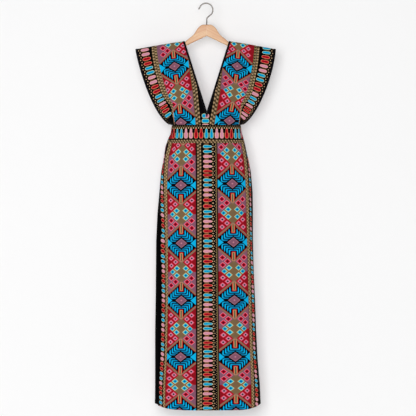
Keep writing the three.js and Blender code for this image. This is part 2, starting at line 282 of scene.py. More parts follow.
def panelGroup():
    # a panel of medallions and lattices; Across from its middle, Down from a medallion's centre
    group, wires, sink = newGroup(
        "medallion panel",
        {
            "Across": 0.0, "Down": 0.0, "Swap": 0.0, "All Warm": 0.0, "Ground": "black", "Stroke": "cyan",
            "Stroke Shade": "blue", "Warm": "crimson", "Cool": "mauve",
        },
    )
    ground, swap = wires["Ground"], wires["Swap"]
    across = wires["Across"].size()
    down = wires["Down"].wrapped(halfRepeat * 2)
    height = down.size()
    fromLattice = halfRepeat - height
    latticeReach = across / motif["lattice"][0] + fromLattice / motif["lattice"][1]

    # ground of the corners: warm above a lattice and cool below it, or the other way round
    lower = down.above(0, 0.8)
    warm = (lower * (1 - swap) + (1 - lower) * swap).most(wires["All Warm"])
    corner = nearestDiamond(across, fromLattice, "corner")
    rule = latticeReach.below(1.16, 0.06) * 0.4
    inWarm = paint(rule.most(corner.between(1.05, 1.2, 0.12)), wires["Warm"], "red")
    inWarm = paint(corner.between(1.3, 1.44, 0.06), inWarm, "wine")
    inWarm = rings(corner, inWarm, (0.98, 0.14, "hotPink"), (0.74, 0.16, "lilac"), (0.42, 0.16, "wine"),
                   (0.26, 0.16, ground))
    inCool = paint(corner.between(1.3, 1.44, 0.08), wires["Cool"], "dusk")
    inCool = rings(corner, inCool, (1.1, 0.1, "pink"), (0.98, 0.14, "scarlet"), (0.56, 0.2, "wine"))

    # the lattice, finely hatched
    diamond = nearestDiamond(across, fromLattice, "lattice")
    rising, falling = ((way / motif["hatch"]).part().below(0.5, 0.5)
                       for way in (across + fromLattice, across - fromLattice))
    inLattice = paint(rising * falling * 0.6, "olive", "bronze")
    inLattice = paint(diamond.between(1.08, 1.3, 0.14), inLattice, "umber")
    inLattice = rings(diamond, inLattice, (1.02, 0.12, "cream"), (0.88, 0.16, "teal"), (0.58, 0.3, "azure"),
                      (0.34, 0.2, "deepBlue"))

    # nested strokes: upright legs that turn into arms, each with a rounded end
    slant = height + across * motif["slope"]
    legs = (across - motif["legInner"]) / motif["legPitch"]
    arms = (motif["armTop"] - height) / motif["armPitch"]
    turn = legs.math("SMOOTH_MAX", arms, 0.9)
    beside = ((turn + 0.5).part() - 0.5).size()       # 0 in the middle of a stroke
    ends = slant.above(motif["legCut"] - 3, 9) * legs.above(arms, 0.5)
    inside = turn.between(-0.5, 3.5, 0.1) * slant.below(motif["legCut"])
    strokes = (beside + ends * 0.24).below(motif["stroke"], 0.1) * inside
    shade = paint((arms - legs).above(0.2, 2.6), wires["Stroke"], wires["Stroke Shade"])

    rise = (across - motif["sideTip"]) * motif["sideRise"]
    heart = across / motif["heart"][0] + height / motif["heart"][1]
    inHeart = layers("blush", (heart.below(0.86, 0.1), wires["Cool"]), (heart.below(0.16, 0.2) * 0.6, "pink"))
    colour = layers(
        paint(warm, inCool, inWarm),
        (latticeReach.below(1.0, 0.02), inLattice),
        (slant.below(motif["band"]), "taupe"),                                     # the slanted border
        (height.between(65, 68.5) * across.below(6) * 0.6, "tan"),
        (slant.below(motif["redLine"]), "brick"),
        (slant.below(motif["interior"]), ground),
        (inside * (arms - legs).above(0.4, 2.4), "navy"),
        (strokes, shade),
        (height.below(rise + motif["sideRim"]), ground),                           # points at the sides
        (height.below(rise), "sky"),
        (heart.below(1.4, 0.05), ground),
        (heart.below(1.0, 0.05), inHeart),
    )
    for half, low, high, soft, over in motif["bar"]:
        colour = paint(across.below(half) * height.between(low, high, soft), colour, over)
    colour.into(sink["Colour"])
    return group


def beadGroup():
    # a row of rounded bars; Across along a bar from its middle, Along from the first bar's centre
    group, wires, sink = newGroup(
        "bead row",
        {
            "Across": 0.0, "Along": 0.0, "Pitch": beadPitch, "Length": 34.0, "Thickness": 12.0, "First": 0.0,
            "Turn": 1.0, "Neck": 0.25, "Neck At": 0.1, "Lean": 0.0, "Dash": 1.0, "Blunt": 5.0,
            "Ground": "black",
        },
    )
    place = (wires["Along"] + wires["Across"] * wires["Lean"]) / wires["Pitch"] + 0.5
    offset = (place.part() - 0.5) * wires["Pitch"]
    number = place.math("FLOOR") * wires["Turn"] + wires["First"]
    cycle = (number / beadCycle + 0.01).part() * beadCycle
    isBlue, isRed = cycle.below(2, 0.02), cycle.above(4, 0.02)
    share = wires["Across"] / wires["Length"]
    reach = share.size() * 2
    slim = 1 - wires["Neck"] * (share - wires["Neck At"]).above(0, 0.08)      # slimmer past the neck
    rise = offset.size() / (wires["Thickness"] * 0.5 * slim)
    rounded = reach.math("POWER", wires["Blunt"]) + rise * rise
    dash = (share + 0.12).size().below(0.22, 0.05) * rise.above(1.28, 0.1) * wires["Dash"]
    rim = paint(isBlue, paint(isRed, "pink", "red"), "teal")
    core = paint(isBlue, paint(isRed, "rose", "ruby"), "azure")
    layers(
        wires["Ground"],
        (dash, "umber"),                                              # between two bars
        (rounded.below(1.0, 0.12), paint(isBlue, "tan", "cream")),
        (rounded.below(0.76, 0.14), rim),
        (rise.below(0.58, 0.2) * reach.below(0.84, 0.1), core),
        (rise.below(0.26, 0.3) * reach.below(0.6, 0.3) * isRed, "wine"),
    ).into(sink["Colour"])
    return group


def plaitGroup():
    # leaning strands that meet over dark holes, brighter on one side; Across from the middle
    group, wires, sink = newGroup(
        "gold plait",
        {
            "Across": 0.0, "Along": 0.0, "Width": 19.0, "Pitch": 12.0, "Lean": 0.42, "Bright Side": 1.0,
            "Gold": "gold", "Shade": "bronze", "Ground": "black",
        },
    )
    reach = wires["Across"] / (wires["Width"] * 0.5)
    turns = wires["Along"] / wires["Pitch"]
    sided = reach * wires["Bright Side"] + 0.62     # the strands fold where this is 0
    streak = ((turns + sided.size() * wires["Lean"]).part() - 0.5).size() * 2       # 0 in a strand's middle
    bright = sided.above(0.3, 0.3)
    strand = paint(bright * 0.35 + 0.65, wires["Shade"], wires["Gold"])
    gap = paint(bright * 0.2 + 0.3, wires["Shade"], wires["Ground"])
    thread = (reach * 9 + wires["Along"] * 1.9).math("SINE") * 0.12 + 0.88
    colour = paint(streak.below(0.42, 0.5) * thread, gap, strand)
    for place, shift, half in ((0.16, 0.5, 0.24), (0.82, 0.2, 0.34)):      # two staggered columns of holes
        side = (sided - place) / half
        rise = ((turns + shift).part() - 0.5) / 0.27
        colour = paint((side * side + rise * rise).below(1, 0.5) * 0.82, colour, wires["Ground"])
    paint(reach.size().above(0.9, 0.1), colour, wires["Ground"]).into(sink["Colour"])
    return group


def netGroup():
    # crossing gold zigzags, with a knot at each crossing
    group, wires, sink = newGroup(
        "gold net",
        {
            "Across": 0.0, "Along": 0.0, "Cell Across": 8.5, "Cell Along": 9.0, "Line": 0.17, "Knot": 0.42,
            "Gold": "gold", "Shade": "bronze", "Ground": "black",
        },
    )
    wave, other = (((wires[way] / wires["Cell " + way]).part() - 0.5).size() * 2
                   for way in ("Across", "Along"))
    layers(
        wires["Ground"],
        ((wave - other).size().below(wires["Line"], 0.12), wires["Shade"]),
        ((wave + other).below(wires["Knot"], 0.16), wires["Gold"]),
    ).into(sink["Colour"])
    return group


def weaveGroup():
    # fine plain weave with slow unevenness in the dye and a faint painted shade between the threads; Shade
    # multiplies a colour, Height feeds a bump
    group, wires, sink = newGroup(
        "plain weave",
        {"Across": 0.0, "Along": 0.0, "Thread": 0.7, "Fade": 0.16},
        ("Shade", "Height", "Rough"),
    )
    warp, weft = ((wires[way] * math.pi / wires["Thread"]).math("SINE") for way in ("Across", "Along"))
    threads = warp * weft * 0.5 + 0.5
    uneven, grain = speckle(group, 38, 4), speckle(group, 900)
    # the threads' term darkens the weave where its bump is low: painted shade; the other two terms are the
    # dye's own unevenness
    shade = (1 + (uneven - 0.5) * wires["Fade"]) * (0.93 + grain * 0.14) * (0.97 + threads * 0.05)
    shade.into(sink["Shade"])
    (threads * 0.7 + grain * 0.3).into(sink["Height"])
    (0.74 + (uneven - 0.5) * 0.2 + grain * 0.08).into(sink["Rough"])
    return group


groups = {
    "panel": panelGroup(), "beads": beadGroup(), "plait": plaitGroup(), "net": netGroup(),
    "weave": weaveGroup(),
}
print("print motifs ready")


def newMaterial(name):
    material = bpy.data.materials.new(name)
    material.use_nodes = True
    tree = material.node_tree
    return material, tree, tree.nodes["Principled BSDF"]


def clothMaterial(name, *labels):
    # a new material and wires for the named values that a cloth's points carry
    material, tree = newMaterial(name)[:2]
    wires = []
    for label in labels:
        node = tree.nodes.new("ShaderNodeAttribute")
        node.attribute_name = label
        wires.append(Wire(tree, node.outputs["Fac"]))
    return material, wires


def finishCloth(material, colour, across, down, sheen=0.016, thread=0.7):
    # lays the weave over a printed colour
    tree = material.node_tree
    shader = tree.nodes["Principled BSDF"]
    weave = useGroup(tree, "weave", across=across, along=down, thread=thread)
    mixed = tree.nodes.new("ShaderNodeVectorMath")
    mixed.operation = "SCALE"
    colour.into(mixed.inputs[0])
    weave["Shade"].into(mixed.inputs["Scale"])
    tree.links.new(mixed.outputs[0], shader.inputs["Base Color"])
    weave["Rough"].into(shader.inputs["Roughness"])
    addBump(tree, shader, weave["Height"], 0.35, 0.00015)
    adjust(shader, {"Sheen Weight": sheen, "Sheen Roughness": 0.5, "Specular IOR Level": 0.03})
    return material


knotRows = (                        # across, along, repeat, half width, half height
    (20.4, 9.0, 18.0, 2.8, 1.9),
    (18.2, 0.0, 18.0, 1.6, 1.8),
    (25.0, 0.0, 18.0, 1.7, 1.9),
    (30.8, 4.5, 9.0, 1.0, 1.0),
)


def knotted(across, along):
    # rows of gold knots on black beside a row of beads
    knots = None
    for place, shift, repeat, half, halfRise in knotRows:
        side, rise = (across - place) / half, (along - shift).wrapped(repeat) / halfRise
        knot = side * side + rise * rise
        knots = knot if knots is None else knots.least(knot)
    return paint(knots.below(1, 0.5), "black", "gold")


def pastBead(along, number):
    # 1 after this many beads
    return along.above(number * beadPitch, 0.1)


def beadRange(along, low, high):
    return along.between(low * beadPitch, high * beadPitch, 0.1)


skirtPlan = {
    # millimetres from the centre line: where each band begins and ends, and the middles of some
    "plait": (-37.2, -20.4), "plaitMiddle": -28.8, "reed": (35.5, 38.0), "panelRim": (40.2, 165.4),
    "panel": (41.5, 164.2), "panelMiddle": 102.7, "centreLines": [(40.1, 41.5), (-40.4, -37.2)],
    "braid": (165.4, 174.2), "braidMiddle": 169.8, "smallBeads": (175.5, 194.5), "smallMiddle": 184.7,
    "hipStrip": 190,
    "beads": (-19, 17.5), "knots": (17, 40),          # from the middle of the beads
    "panelLine": (60.2, 61.8),                        # from the middle of a panel
    # down from the waist seam; the hip strip fades out around its end
    "chain": (4.4, 17.4), "chainMiddle": 11, "chainGround": 17, "hipStripEnd": (105, 40),
    "warmFrom": (-107, 500),      # across and down; further left and lower, all corners are warm
}


def skirtPrint():
    material, (across, down, fromBeads, beadAlong, edgeAlong, top) = clothMaterial(
        "skirt print", "across", "down", "fromBeads", "beadAlong", "edgeAlong", "fromTop")
    tree, plan, out, swap = material.node_tree, skirtPlan, across.size(), across.above(0, 1)
    plait = printed(tree, "plait", across=across - plan["plaitMiddle"], along=down + 3, width=16.8)
    beads = printed(tree, "beads", across=fromBeads, along=beadAlong, length=35.0, thickness=11.6,
                    first=beadCycle - beadRange(beadAlong, 3.5, 21.5), neckAt=0.05)
    # outer edges: narrow braid and a column of small beads whose order breaks in a few places
    braid = printed(tree, "plait", across=out - plan["braidMiddle"], along=down, width=9.4, shade="sand")
    leftFirst = 4 + pastBead(edgeAlong, 10.5) + pastBead(edgeAlong, 15.5) + pastBead(edgeAlong, 44.5)
    rightFirst = (5 - beadRange(edgeAlong, 14.5, 18.5) - beadRange(edgeAlong, 18.5, 20.5) * 3
                  + beadRange(edgeAlong, 20.5, 21.5))
    turn = 1 - swap * 2
    small = printed(tree, "beads", across=out - plan["smallMiddle"], along=edgeAlong, length=15.6,
                    thickness=12.4, first=lerp(leftFirst, rightFirst, swap), turn=turn, neck=0.0,
                    lean=turn * 0.3, blunt=3.0)
    # panels; the left one's motifs sit a little outwards
    warmAcross, warmDown = plan["warmFrom"]
    allWarm = across.below(warmAcross, 1) * down.above(warmDown, 1)
    middle = plan["panelMiddle"] + (1 - swap) * down.most(0) * 0.0038 - swap * down.above(700, 400) * 1.6
    panel = printed(tree, "panel", across=out - middle, down=down - 1.5, swap=swap, allWarm=allWarm)
    chain = printed(tree, "plait", across=plan["chainMiddle"] - top, along=across, width=13.0, pitch=13.4)
    panelLine = (out - plan["panelMiddle"] - 0.1).size().between(*plan["panelLine"], 0.8)
    rightLine, leftLine = plan["centreLines"]
    colour = layers(
        "black",
        (across.between(*plan["plait"]), plait),
        (fromBeads.between(*plan["beads"]), beads),
        (fromBeads.between(*plan["knots"]), knotted(fromBeads, beadAlong)),
        (across.between(*plan["reed"]), "reed"),
        (out.above(plan["braid"][0]), "black"),
        (out.between(*plan["braid"]), braid),
        (out.between(*plan["smallBeads"]) * edgeAlong.above(-2.5 * beadPitch, 1), small),
        (out.between(*plan["panelRim"]), "umber"),
        (out.between(*plan["panel"]), panel),
        (panelLine * 0.8, "black"),
        ((across + 0.3).size().between(*rightLine), "black"),
        (across.between(*leftLine), "black"),
        (top.below(plan["chainGround"]), "black"),
        (top.between(*plan["chain"]), chain),
        (out.above(plan["hipStrip"], 1) * top.below(*plan["hipStripEnd"]), "crimson"),
    )
    return finishCloth(material, colour, across, down)


bodicePlan = {
    # millimetres from a panel's middle
    "plaitMiddle": -74, "plaitEdge": -86.5, "lines": [(-86.5, -84.5), (-64.5, -62.0)], "panelRim": -63.2,
    "panel": -62.0,
    # the centre's beads: their pitch, the lowest whole one as a drop times the stretch, and the
    # column's top from there
    "beadPitch": 19.8, "beadStretch": 1.029, "lowestBead": 312.2, "beadsTop": -29,
    "warmAbove": -40,             # from the first medallion's centre
}


def bodicePrint():
    material, (across, down, swap, centre, drop, braidAcross) = clothMaterial(
        "bodice print", "across", "down", "swap", "centre", "drop", "braid")
    tree, plan = material.node_tree, bodicePlan
    plait = printed(tree, "plait", across=plan["plaitMiddle"] - across, along=down, width=21.0, pitch=13.4)
    low = drop * plan["beadStretch"] - plan["lowestBead"]
    beads = printed(tree, "beads", across=centre, along=low, pitch=plan["beadPitch"], length=28.0,
                    thickness=17.0, first=1 + centre.above(0, 0.1) * low.below(-10, 0.1) * 2, neck=0.0,
                    dash=0.0)
    allWarm = (1 - swap) * across.below(0, 1) * down.below(plan["warmAbove"], 1)
    panel = printed(tree, "panel", across=across, down=down, swap=swap, allWarm=allWarm)
    braid = printed(tree, "plait", across=braidAcross - braidWidth / 2, along=down, width=braidWidth,
                    gold="sand")
    colour = layers(
        plait,
        (across.below(plan["plaitEdge"]), paint(low.above(plan["beadsTop"]), "black", beads)),
        *((across.between(*line), "black") for line in plan["lines"]),
        (across.above(plan["panelRim"]), "umber"),
        (across.above(plan["panel"]), panel),
        (braidAcross.above(0), braid),
    )
    return finishCloth(material, colour, across, down)


wingPlan = {
    # millimetres from the armhole edge
    "beadsMiddle": 33.2, "border": 15, "knotsFrom": 34.6, "blackFrom": 52.5,
    # reach from the seam; the braid's second number is how far it keeps from the armhole edge
    "tanLine": 6, "braidLine": (22.5, 46), "braid": (20.5, 44),
    # along the edge: the number of beads, and where the border widens, by what share, and darkens
    "beadsEnd": {"right": 17.6, "left": 15.6}, "borderWidens": (250, 0.12), "borderDarkens": (285, 50),
}


def wingPrint():
    material, (fromEdge, along, fromSeam, turn, beadAlong, narrow) = clothMaterial(
        "wing print", "fromEdge", "along", "braid", "turn", "beadAlong", "narrow")
    tree, plan, isLeft = material.node_tree, wingPlan, turn.above(0, 1)
    # the beads' order breaks where the band bends in to the waist
    left = 2 + pastBead(beadAlong, 12.5)
    right = 1 - beadRange(beadAlong, 10.5, 12.5) + beadRange(beadAlong, 12.5, 13.5) * 3
    beads = printed(tree, "beads", across=fromEdge - plan["beadsMiddle"], along=beadAlong, length=31.5,
                    thickness=11.4, first=lerp(right, left, isLeft), turn=turn, neckAt=0.0, neck=0.0,
                    dash=0.5)
    plait = printed(tree, "plait", across=fromSeam - braidWidth / 2, along=along, width=braidWidth,
                    shade="reed")
    # the beads stop short of the waist, where the border widens and darkens
    rightEnd, leftEnd = (plan["beadsEnd"][name] * beadPitch for name in ("right", "left"))
    start, share = plan["borderWidens"]
    border = fromEdge.below(plan["border"] + (along - start).most(0) * share)
    border = border.most(beadAlong.above(lerp(rightEnd, leftEnd, isLeft), 1))
    colour = layers(
        beads,
        (border, knotted(plan["knotsFrom"] - fromEdge, beadAlong)),
        (along.above(*plan["borderDarkens"]) * 0.8 * border, "black"),
        (fromEdge.above(plan["blackFrom"]), "black"),
        *((fromSeam.below(width) * fromEdge.above(depth), over)
          for (width, depth), over in ((plan["braidLine"], "black"), (plan["braid"], plait))),
        (fromSeam.below(plan["tanLine"]) * narrow, "tan"),
    )
    return finishCloth(material, colour, fromEdge, along)


bandPlan = {
    # millimetres down from the waist seam
    "net": (2.4, 16), "beads": (14.2, 51.6), "beadsMiddle": 33, "links": (31, 45),
    "beadPitch": 19.6, "sides": 131.5,                # along the band, and out from its middle
}


def bandPrint():
    material, (across, down, half) = clothMaterial("waistband print", "across", "fromTop", "half")
    tree, plan, along = material.node_tree, bandPlan, across + 1.6
    net = printed(tree, "net", across=across + 6.5, along=down - 4.6, cellAcross=9.8, cellAlong=16.0,
                  line=0.2, knot=0.5)
    beads = printed(tree, "beads", across=plan["beadsMiddle"] - down, along=along, pitch=plan["beadPitch"],
                    length=38.0, thickness=14.8, neck=0.4, neckAt=0.08, dash=0.0, blunt=8.0)
    link = (along / plan["beadPitch"]).part().between(0.44, 0.56, 0.04) * down.between(*plan["links"])
    colour = layers(
        "black",
        (down.between(*plan["net"]), net),
        (down.between(*plan["beads"]), beads),
        (link, "bronze"),
        (half.above(plan["sides"], 1), "crimson"),
    )
    return finishCloth(material, colour, across, down)


def blackReverse():
    material, (across, down) = clothMaterial("black reverse", "across", "down")
    colour = paint((down * 0.6).math("SINE") * 0.5 + 0.5, ink("#060507"), ink("#060507", 1.3))
    return finishCloth(material, colour, across, down)


def bindingCloth():
    # black tape with a row of stitches near its inner edge
    material, (into, along) = clothMaterial("black binding", "into", "along")
    stitch = into.between(4.2, 4.9, 0.3) * (along / 3.0).part().below(0.68, 0.1)
    return finishCloth(material, paint(stitch, ink("#08070A"), ink("#1B191C")), into, along, 0.04, 0.5)


def woodFinish():
    # pale beech with its grain along the arm
    material, tree, shader = newMaterial("hanger wood")
    grain = tree.nodes.new("ShaderNodeAttribute")
    grain.attribute_name = "grain"
    wave = speckle(tree, 1, 6, 0.55, grain.outputs["Vector"])
    pores = speckle(tree, 9, 3, place=grain.outputs["Vector"])
    ramp = tree.nodes.new("ShaderNodeValToRGB")
    for element, position, code in zip(ramp.color_ramp.elements, (0.36, 0.62), ("#CD966C", "#DCB286")):
        element.position = position
        element.color = ink(code, light)
    wave.into(ramp.inputs[0])
    colour = paint(pores.above(0.62, 0.1) * 0.35, Wire(tree, ramp.outputs[0]), ink("#BE8A60", light))
    colour.into(shader.inputs["Base Color"])
    (0.42 + pores * 0.16).into(shader.inputs["Roughness"])
    addBump(tree, shader, wave, 0.12, 0.0003)
    adjust(shader, {"Coat Weight": 0.12, "Coat Roughness": 0.35})
    return material


def steelFinish():
    material, tree, shader = newMaterial("hook steel")
    grain = speckle(tree, 260, 4)
    paint(grain, ink("#6C6764"), ink("#928D89")).into(shader.inputs["Base Color"])
    (0.3 + grain * 0.16).into(shader.inputs["Roughness"])
    adjust(shader, {"Metallic": 1.0})
    return material


finish = {
    "skirt": skirtPrint(), "bodice": bodicePrint(), "wing": wingPrint(), "waistband": bandPrint(),
    "reverse": blackReverse(), "binding": bindingCloth(), "wood": woodFinish(), "steel": steelFinish(),
}
print("materials ready")


cloth = {
    "wall": 0.0013, "gap": 0.00015, "seamGap": 0.00025, "edgeGap": 0.0001, "seamDepth": 0.0007,
    "seamReach": 0.0035,
}
grids = {"bodice": 26, "wing": 22, "skirt": (168, 124), "band": (12, 112)}    # columns, or rows and columns
bake = {
    # on the bake's square: start and width of each coat, and the rim's two edges
    "outer": (0.004, 0.86), "inner": (0.872, 0.115), "rim": (0.991, 0.998), "margin": 0.004, "top": 0.998,
}


def gridNormals(points, face):
    # towards the front or the back, whichever the face looks to
    normals = np.cross(np.gradient(points, axis=1), np.gradient(points, axis=0))
    normals /= np.maximum(np.linalg.norm(normals, axis=2, keepdims=True), 1e-12)
    return normals if float(np.sum(normals[:, :, 1])) * face > 0 else -normals


def lengthsAlong(line):
    return np.concatenate([[0], np.cumsum(np.linalg.norm(np.diff(line, axis=0), axis=1))])


def runs(points, axis):
    # mean distance along the grid, as shares from 0 to 1
    lengths = np.linalg.norm(np.diff(points, axis=axis), axis=2).mean(axis=1 - axis)
    total = np.concatenate([[0.0], np.cumsum(lengths)])
    return total / total[-1]


def clothPiece(kind, side, face, points, values, strips=1):
    # an outer face from a grid of points, an inner face inside it, and a rim
    rows, columns = points.shape[:2]
    normals = gridNormals(points, face)
    inner = points - normals * cloth["wall"]
    inner[:, :, 1] = face * np.maximum(inner[:, :, 1] * face, cloth["gap"])
    count = rows * columns
    places = np.concatenate([points.reshape(-1, 3), inner.reshape(-1, 3)])

    down, over = runs(points, 0), runs(points, 1)
    bounds = [round(step * (columns - 1) / strips) for step in range(strips + 1)]

    def bakePlace(row, column, strip, coat):
        low, high = bounds[strip], bounds[strip + 1]
        share = (over[column] - over[low]) / (over[high] - over[low])
        start, width = bake[coat][0], bake[coat][1] / strips
        return (start + strip * width + share * (width - bake["margin"]),
                bake["top"] - (bake["top"] * 2 - 1) * down[row])

    faces, marks, corners = [], [], []
    middle = points[rows // 2, columns // 2]
    right, below = points[rows // 2, columns // 2 + 1], points[rows // 2 + 1, columns // 2]
    turned = float(np.dot(np.cross(right - middle, below - middle), normals[rows // 2, columns // 2])) < 0
    for strip in range(strips):
        for row in range(rows - 1):
            for column in range(bounds[strip], bounds[strip + 1]):
                ring = [(row, column), (row, column + 1), (row + 1, column + 1), (row + 1, column)]
                if turned:
                    ring.reverse()
                for mark, coat in enumerate(("outer", "inner")):
                    faces.append([mark * count + r * columns + c for r, c in ring])
                    corners.extend(bakePlace(r, c, strip, coat) for r, c in ring)
                    marks.append(mark)
                    ring.reverse()
    index = np.arange(count).reshape(rows, columns)
    border = np.concatenate([index[0, :-1], index[:-1, -1], index[-1, :0:-1], index[:0:-1, 0]]).tolist()
    if turned:
        border.reverse()
    edges = set()
    left, right = bake["rim"]
    for step, a in enumerate(border):
        b = border[(step + 1) % len(border)]
        faces.append([b, a, a + count, b + count])
        low, high = step / len(border), (step + 1) / len(border)
        corners.extend([(left, high), (left, low), (right, low), (right, high)])
        marks.append(1)
        edges.update({(min(a, b), max(a, b)), (min(a, b) + count, max(a, b) + count)})
    names = [kind, faceName[face], sideName.get(side), "cloth"]
    return buildMesh("_".join(filter(None, names)), places, faces, marks, corners, values, 2,
                     [finish[kind], finish["reverse"]], edges)


def buildMesh(name, places, faces, marks, corners, values, copies, finishes, sharp=()):
    mesh = bpy.data.meshes.new(name)
    mesh.from_pydata([tuple(map(float, place)) for place in places], [], faces)
    for material in finishes:
        mesh.materials.append(material)
    mesh.polygons.foreach_set("material_index", marks)
    mesh.polygons.foreach_set("use_smooth", [True] * len(faces))
    mesh.uv_layers.new(name="OFBake").data.foreach_set("uv", np.array(corners, dtype=np.float32).ravel())
    for label, grid in values.items():
        flat = np.tile(np.asarray(grid, dtype=np.float32).reshape(-1), copies)
        mesh.attributes.new(label, "FLOAT", "POINT").data.foreach_set("value", flat)
    if sharp:
        marked = [tuple(sorted(edge.vertices)) in sharp for edge in mesh.edges]
        mesh.attributes.new("sharp_edge", "BOOLEAN", "EDGE").data.foreach_set("value", marked)
    mesh.update()
    return placed(name, mesh)


# the garment's own form, as in the solids
bodyX = 0.0035       # the garment's centre line
neckZ = -0.1417      # the highest points of the cloth
shoulder = {"neckHalf": 0.085, "drop": 0.030, "curve": 1.15, "halfDepth": 0.010, "ridge": 0.009}
sideName = {-1: "left", 1: "right"}
faceName = {-1: "front", 1: "back"}
veeDrop = 0.271
waist = {"drop": 0.318, "bottom": 0.370, "depth": 0.072, "roundness": (1.06, 1.01)}
wing = {
    -1: {"waistHalf": 0.1325, "reach": 0.1365, "bow": 1.2, "sweep": 0.6},
    1: {"waistHalf": 0.129, "reach": 0.131, "bow": 1.45, "sweep": 0.65},
}
wingSeam = {"top": 0.1895, "bottom": 0.129, "waistHalf": 0.122, "from": 0.017, "over": 0.220, "bow": 1.5,
            "sweep": 0.8}
hem = {
    "drop": 1.3945, "sideRise": 0.0225, "leftCurve": 5, "rightCurve": 7,
    "turned": 0.018, "stitch": 0.019, "groove": 0.0035, "proud": 0.0004,     # turned edge and stitches
}
slit = {"drop": 0.620, "easeOver": 0.060, "openAngle": 0.4, "wider": (0.75, 0.95, 0.18),
        "narrower": (1.15, 1.39, 0.30)}
sections = {
    "drop": [0.318, 0.336, 0.352, 0.370, 0.400, 0.440, 0.495, 0.571, 0.650, 0.755, 0.870, 0.980, 1.095, 1.210,
             1.300, 1.3945],
    "left": [0.1325, 0.135, 0.138, 0.147, 0.157, 0.163, 0.173, 0.180, 0.187, 0.192, 0.193, 0.194, 0.196,
             0.196, 0.196, 0.197],
    "right": [0.129, 0.131, 0.134, 0.140, 0.147, 0.156, 0.167, 0.174, 0.175, 0.175, 0.178, 0.183, 0.187,
              0.193, 0.201, 0.205],
    "depth": [0.072, 0.073, 0.075, 0.078, 0.083, 0.089, 0.095, 0.098, 0.098, 0.095, 0.092, 0.088, 0.084,
              0.080, 0.076, 0.072],
}
# soft vertical folds: place in degrees, spread, depth and the drop where each starts
skirtFolds = [
    (24, 11, -0.006, 0.80), (47, 12, 0.004, 0.70), (72, 13, -0.004, 0.95), (101, 14, 0.003, 0.85),
    (128, 12, -0.004, 0.60), (151, 11, 0.003, 0.90), (203, 12, -0.006, 0.70), (232, 13, 0.005, 0.80),
    (258, 12, -0.007, 0.60), (284, 14, 0.005, 0.90), (312, 12, -0.006, 0.65), (338, 10, 0.004, 0.80),
]


def armholeHalf(side, drop):
    form = wing[side]
    share = clamp((drop - shoulder["drop"]) / (waist["drop"] - shoulder["drop"]))
    return form["waistHalf"] + form["reach"] * (1 - share ** form["bow"]) ** form["sweep"]


def seamHalf(side, drop):
    share = (drop - wingSeam["from"]) / wingSeam["over"]
    if share < 1:
        curve = (1 - max(share, 0) ** wingSeam["bow"]) ** wingSeam["sweep"]
        return lerp(wingSeam["bottom"], wingSeam["top"], curve)
    low = wingSeam["from"] + wingSeam["over"]
    return lerp(wingSeam["bottom"], wingSeam["waistHalf"], (drop - low) / (waist["drop"] - low))


def neckHalf(side, drop):
    return shoulder["neckHalf"] * max(1 - drop / veeDrop, 0)


def shoulderDrop(side, half):
    form = wing[side]
    along = (half - shoulder["neckHalf"]) / (form["waistHalf"] + form["reach"] - shoulder["neckHalf"])
    return shoulder["drop"] * clamp(along) ** shoulder["curve"]


def bodiceDepth(side, half, drop, row):
    out = clamp(half / armholeHalf(side, drop))
    below = clamp((drop - shoulderDrop(side, half)) / shoulder["ridge"])
    ridge = shoulder["halfDepth"] * (1 - (1 - below) ** 3) ** (1 / 3)
    roundness = lerp(*waist["roundness"], smooth(0.75, 1, row))
    low = waist["depth"] * math.sqrt(1 - (out / roundness) ** 2)
    return lerp(ridge, low, row)


edgeHalf = {"neck": neckHalf, "seam": seamHalf, "armhole": armholeHalf}


def edgePoint(edge, side, row):
    top = edgeHalf[edge](side, 0)
    drop = lerp(shoulderDrop(side, top), waist["drop"] - cloth["gap"], row)
    return edgeHalf[edge](side, drop), drop, top


dragLines = [                  # where each meets the waist, its lean, spread and depth
    (0.035, 0.32, 0.010, -0.0011), (0.070, 0.45, 0.012, 0.0009), (0.098, 0.55, 0.010, -0.0012),
]


def bodiceFold(side, face, half, drop):
    # drag lines from the waist towards the armhole, and a slow unevenness
    lines = 0.0
    for at, lean, spread, depth in dragLines:
        near = (half - at - lean * (waist["drop"] - drop) * 0.35) / spread
        lines += depth * math.exp(-near * near)
    slow = soften(side * half * 14, face * 2.0, drop * 10, 1) * 0.0012
    slow *= smooth(0.0, 0.05, drop) * smooth(waist["drop"], waist["drop"] - 0.03, drop)
    return lines * smooth(0.10, 0.30, drop) + slow


def bodiceGrid(side, face, inner, outer, rowShares, columnShares):
    # a panel between two edges, each given with the gap beside it
    points = []
    for row in rowShares:
        fromHalf, fromDrop, fromTop = edgePoint(inner[0], side, row)
        toHalf, toDrop, toTop = edgePoint(outer[0], side, row)
        start = fromHalf + (inner[1] if fromHalf > 0 else 0)
        line = []
        for share in columnShares:
            half = lerp(start, toHalf - outer[1], share)
            chord = lerp(shoulderDrop(side, fromTop), shoulderDrop(side, toTop), share)
            bow = shoulderDrop(side, lerp(fromTop, toTop, share)) - chord
            drop = lerp(fromDrop, toDrop, share) + (1 - row) * bow
            depth = max(bodiceDepth(side, half, drop, row), cloth["gap"])
            if row > 0.03:
                depth += bodiceFold(side, face, half, drop)
            line.append((bodyX + side * half, face * depth, neckZ - drop))
        points.append(line)
    return np.array(points)


def uneven(count, ends=(0.006, 0.02)):
    # even shares with a few close ones at both ends, where the seams are
    middle = [step / count for step in range(1, count)]
    return [0.0, *ends, *middle, *(1 - end for end in reversed(ends)), 1.0]


def sinkSeams(points, face, sides):
    # draws the cloth in a little beside a sewn edge
    normals = gridNormals(points, face)
    edges = {"left": points[:, :1], "right": points[:, -1:], "top": points[:1], "bottom": points[-1:]}
    for side in sides:
        away = np.linalg.norm(points - edges[side], axis=2) / cloth["seamReach"]
        points -= normals * (cloth["seamDepth"] * np.exp(-away ** 2))[:, :, None]
    return points


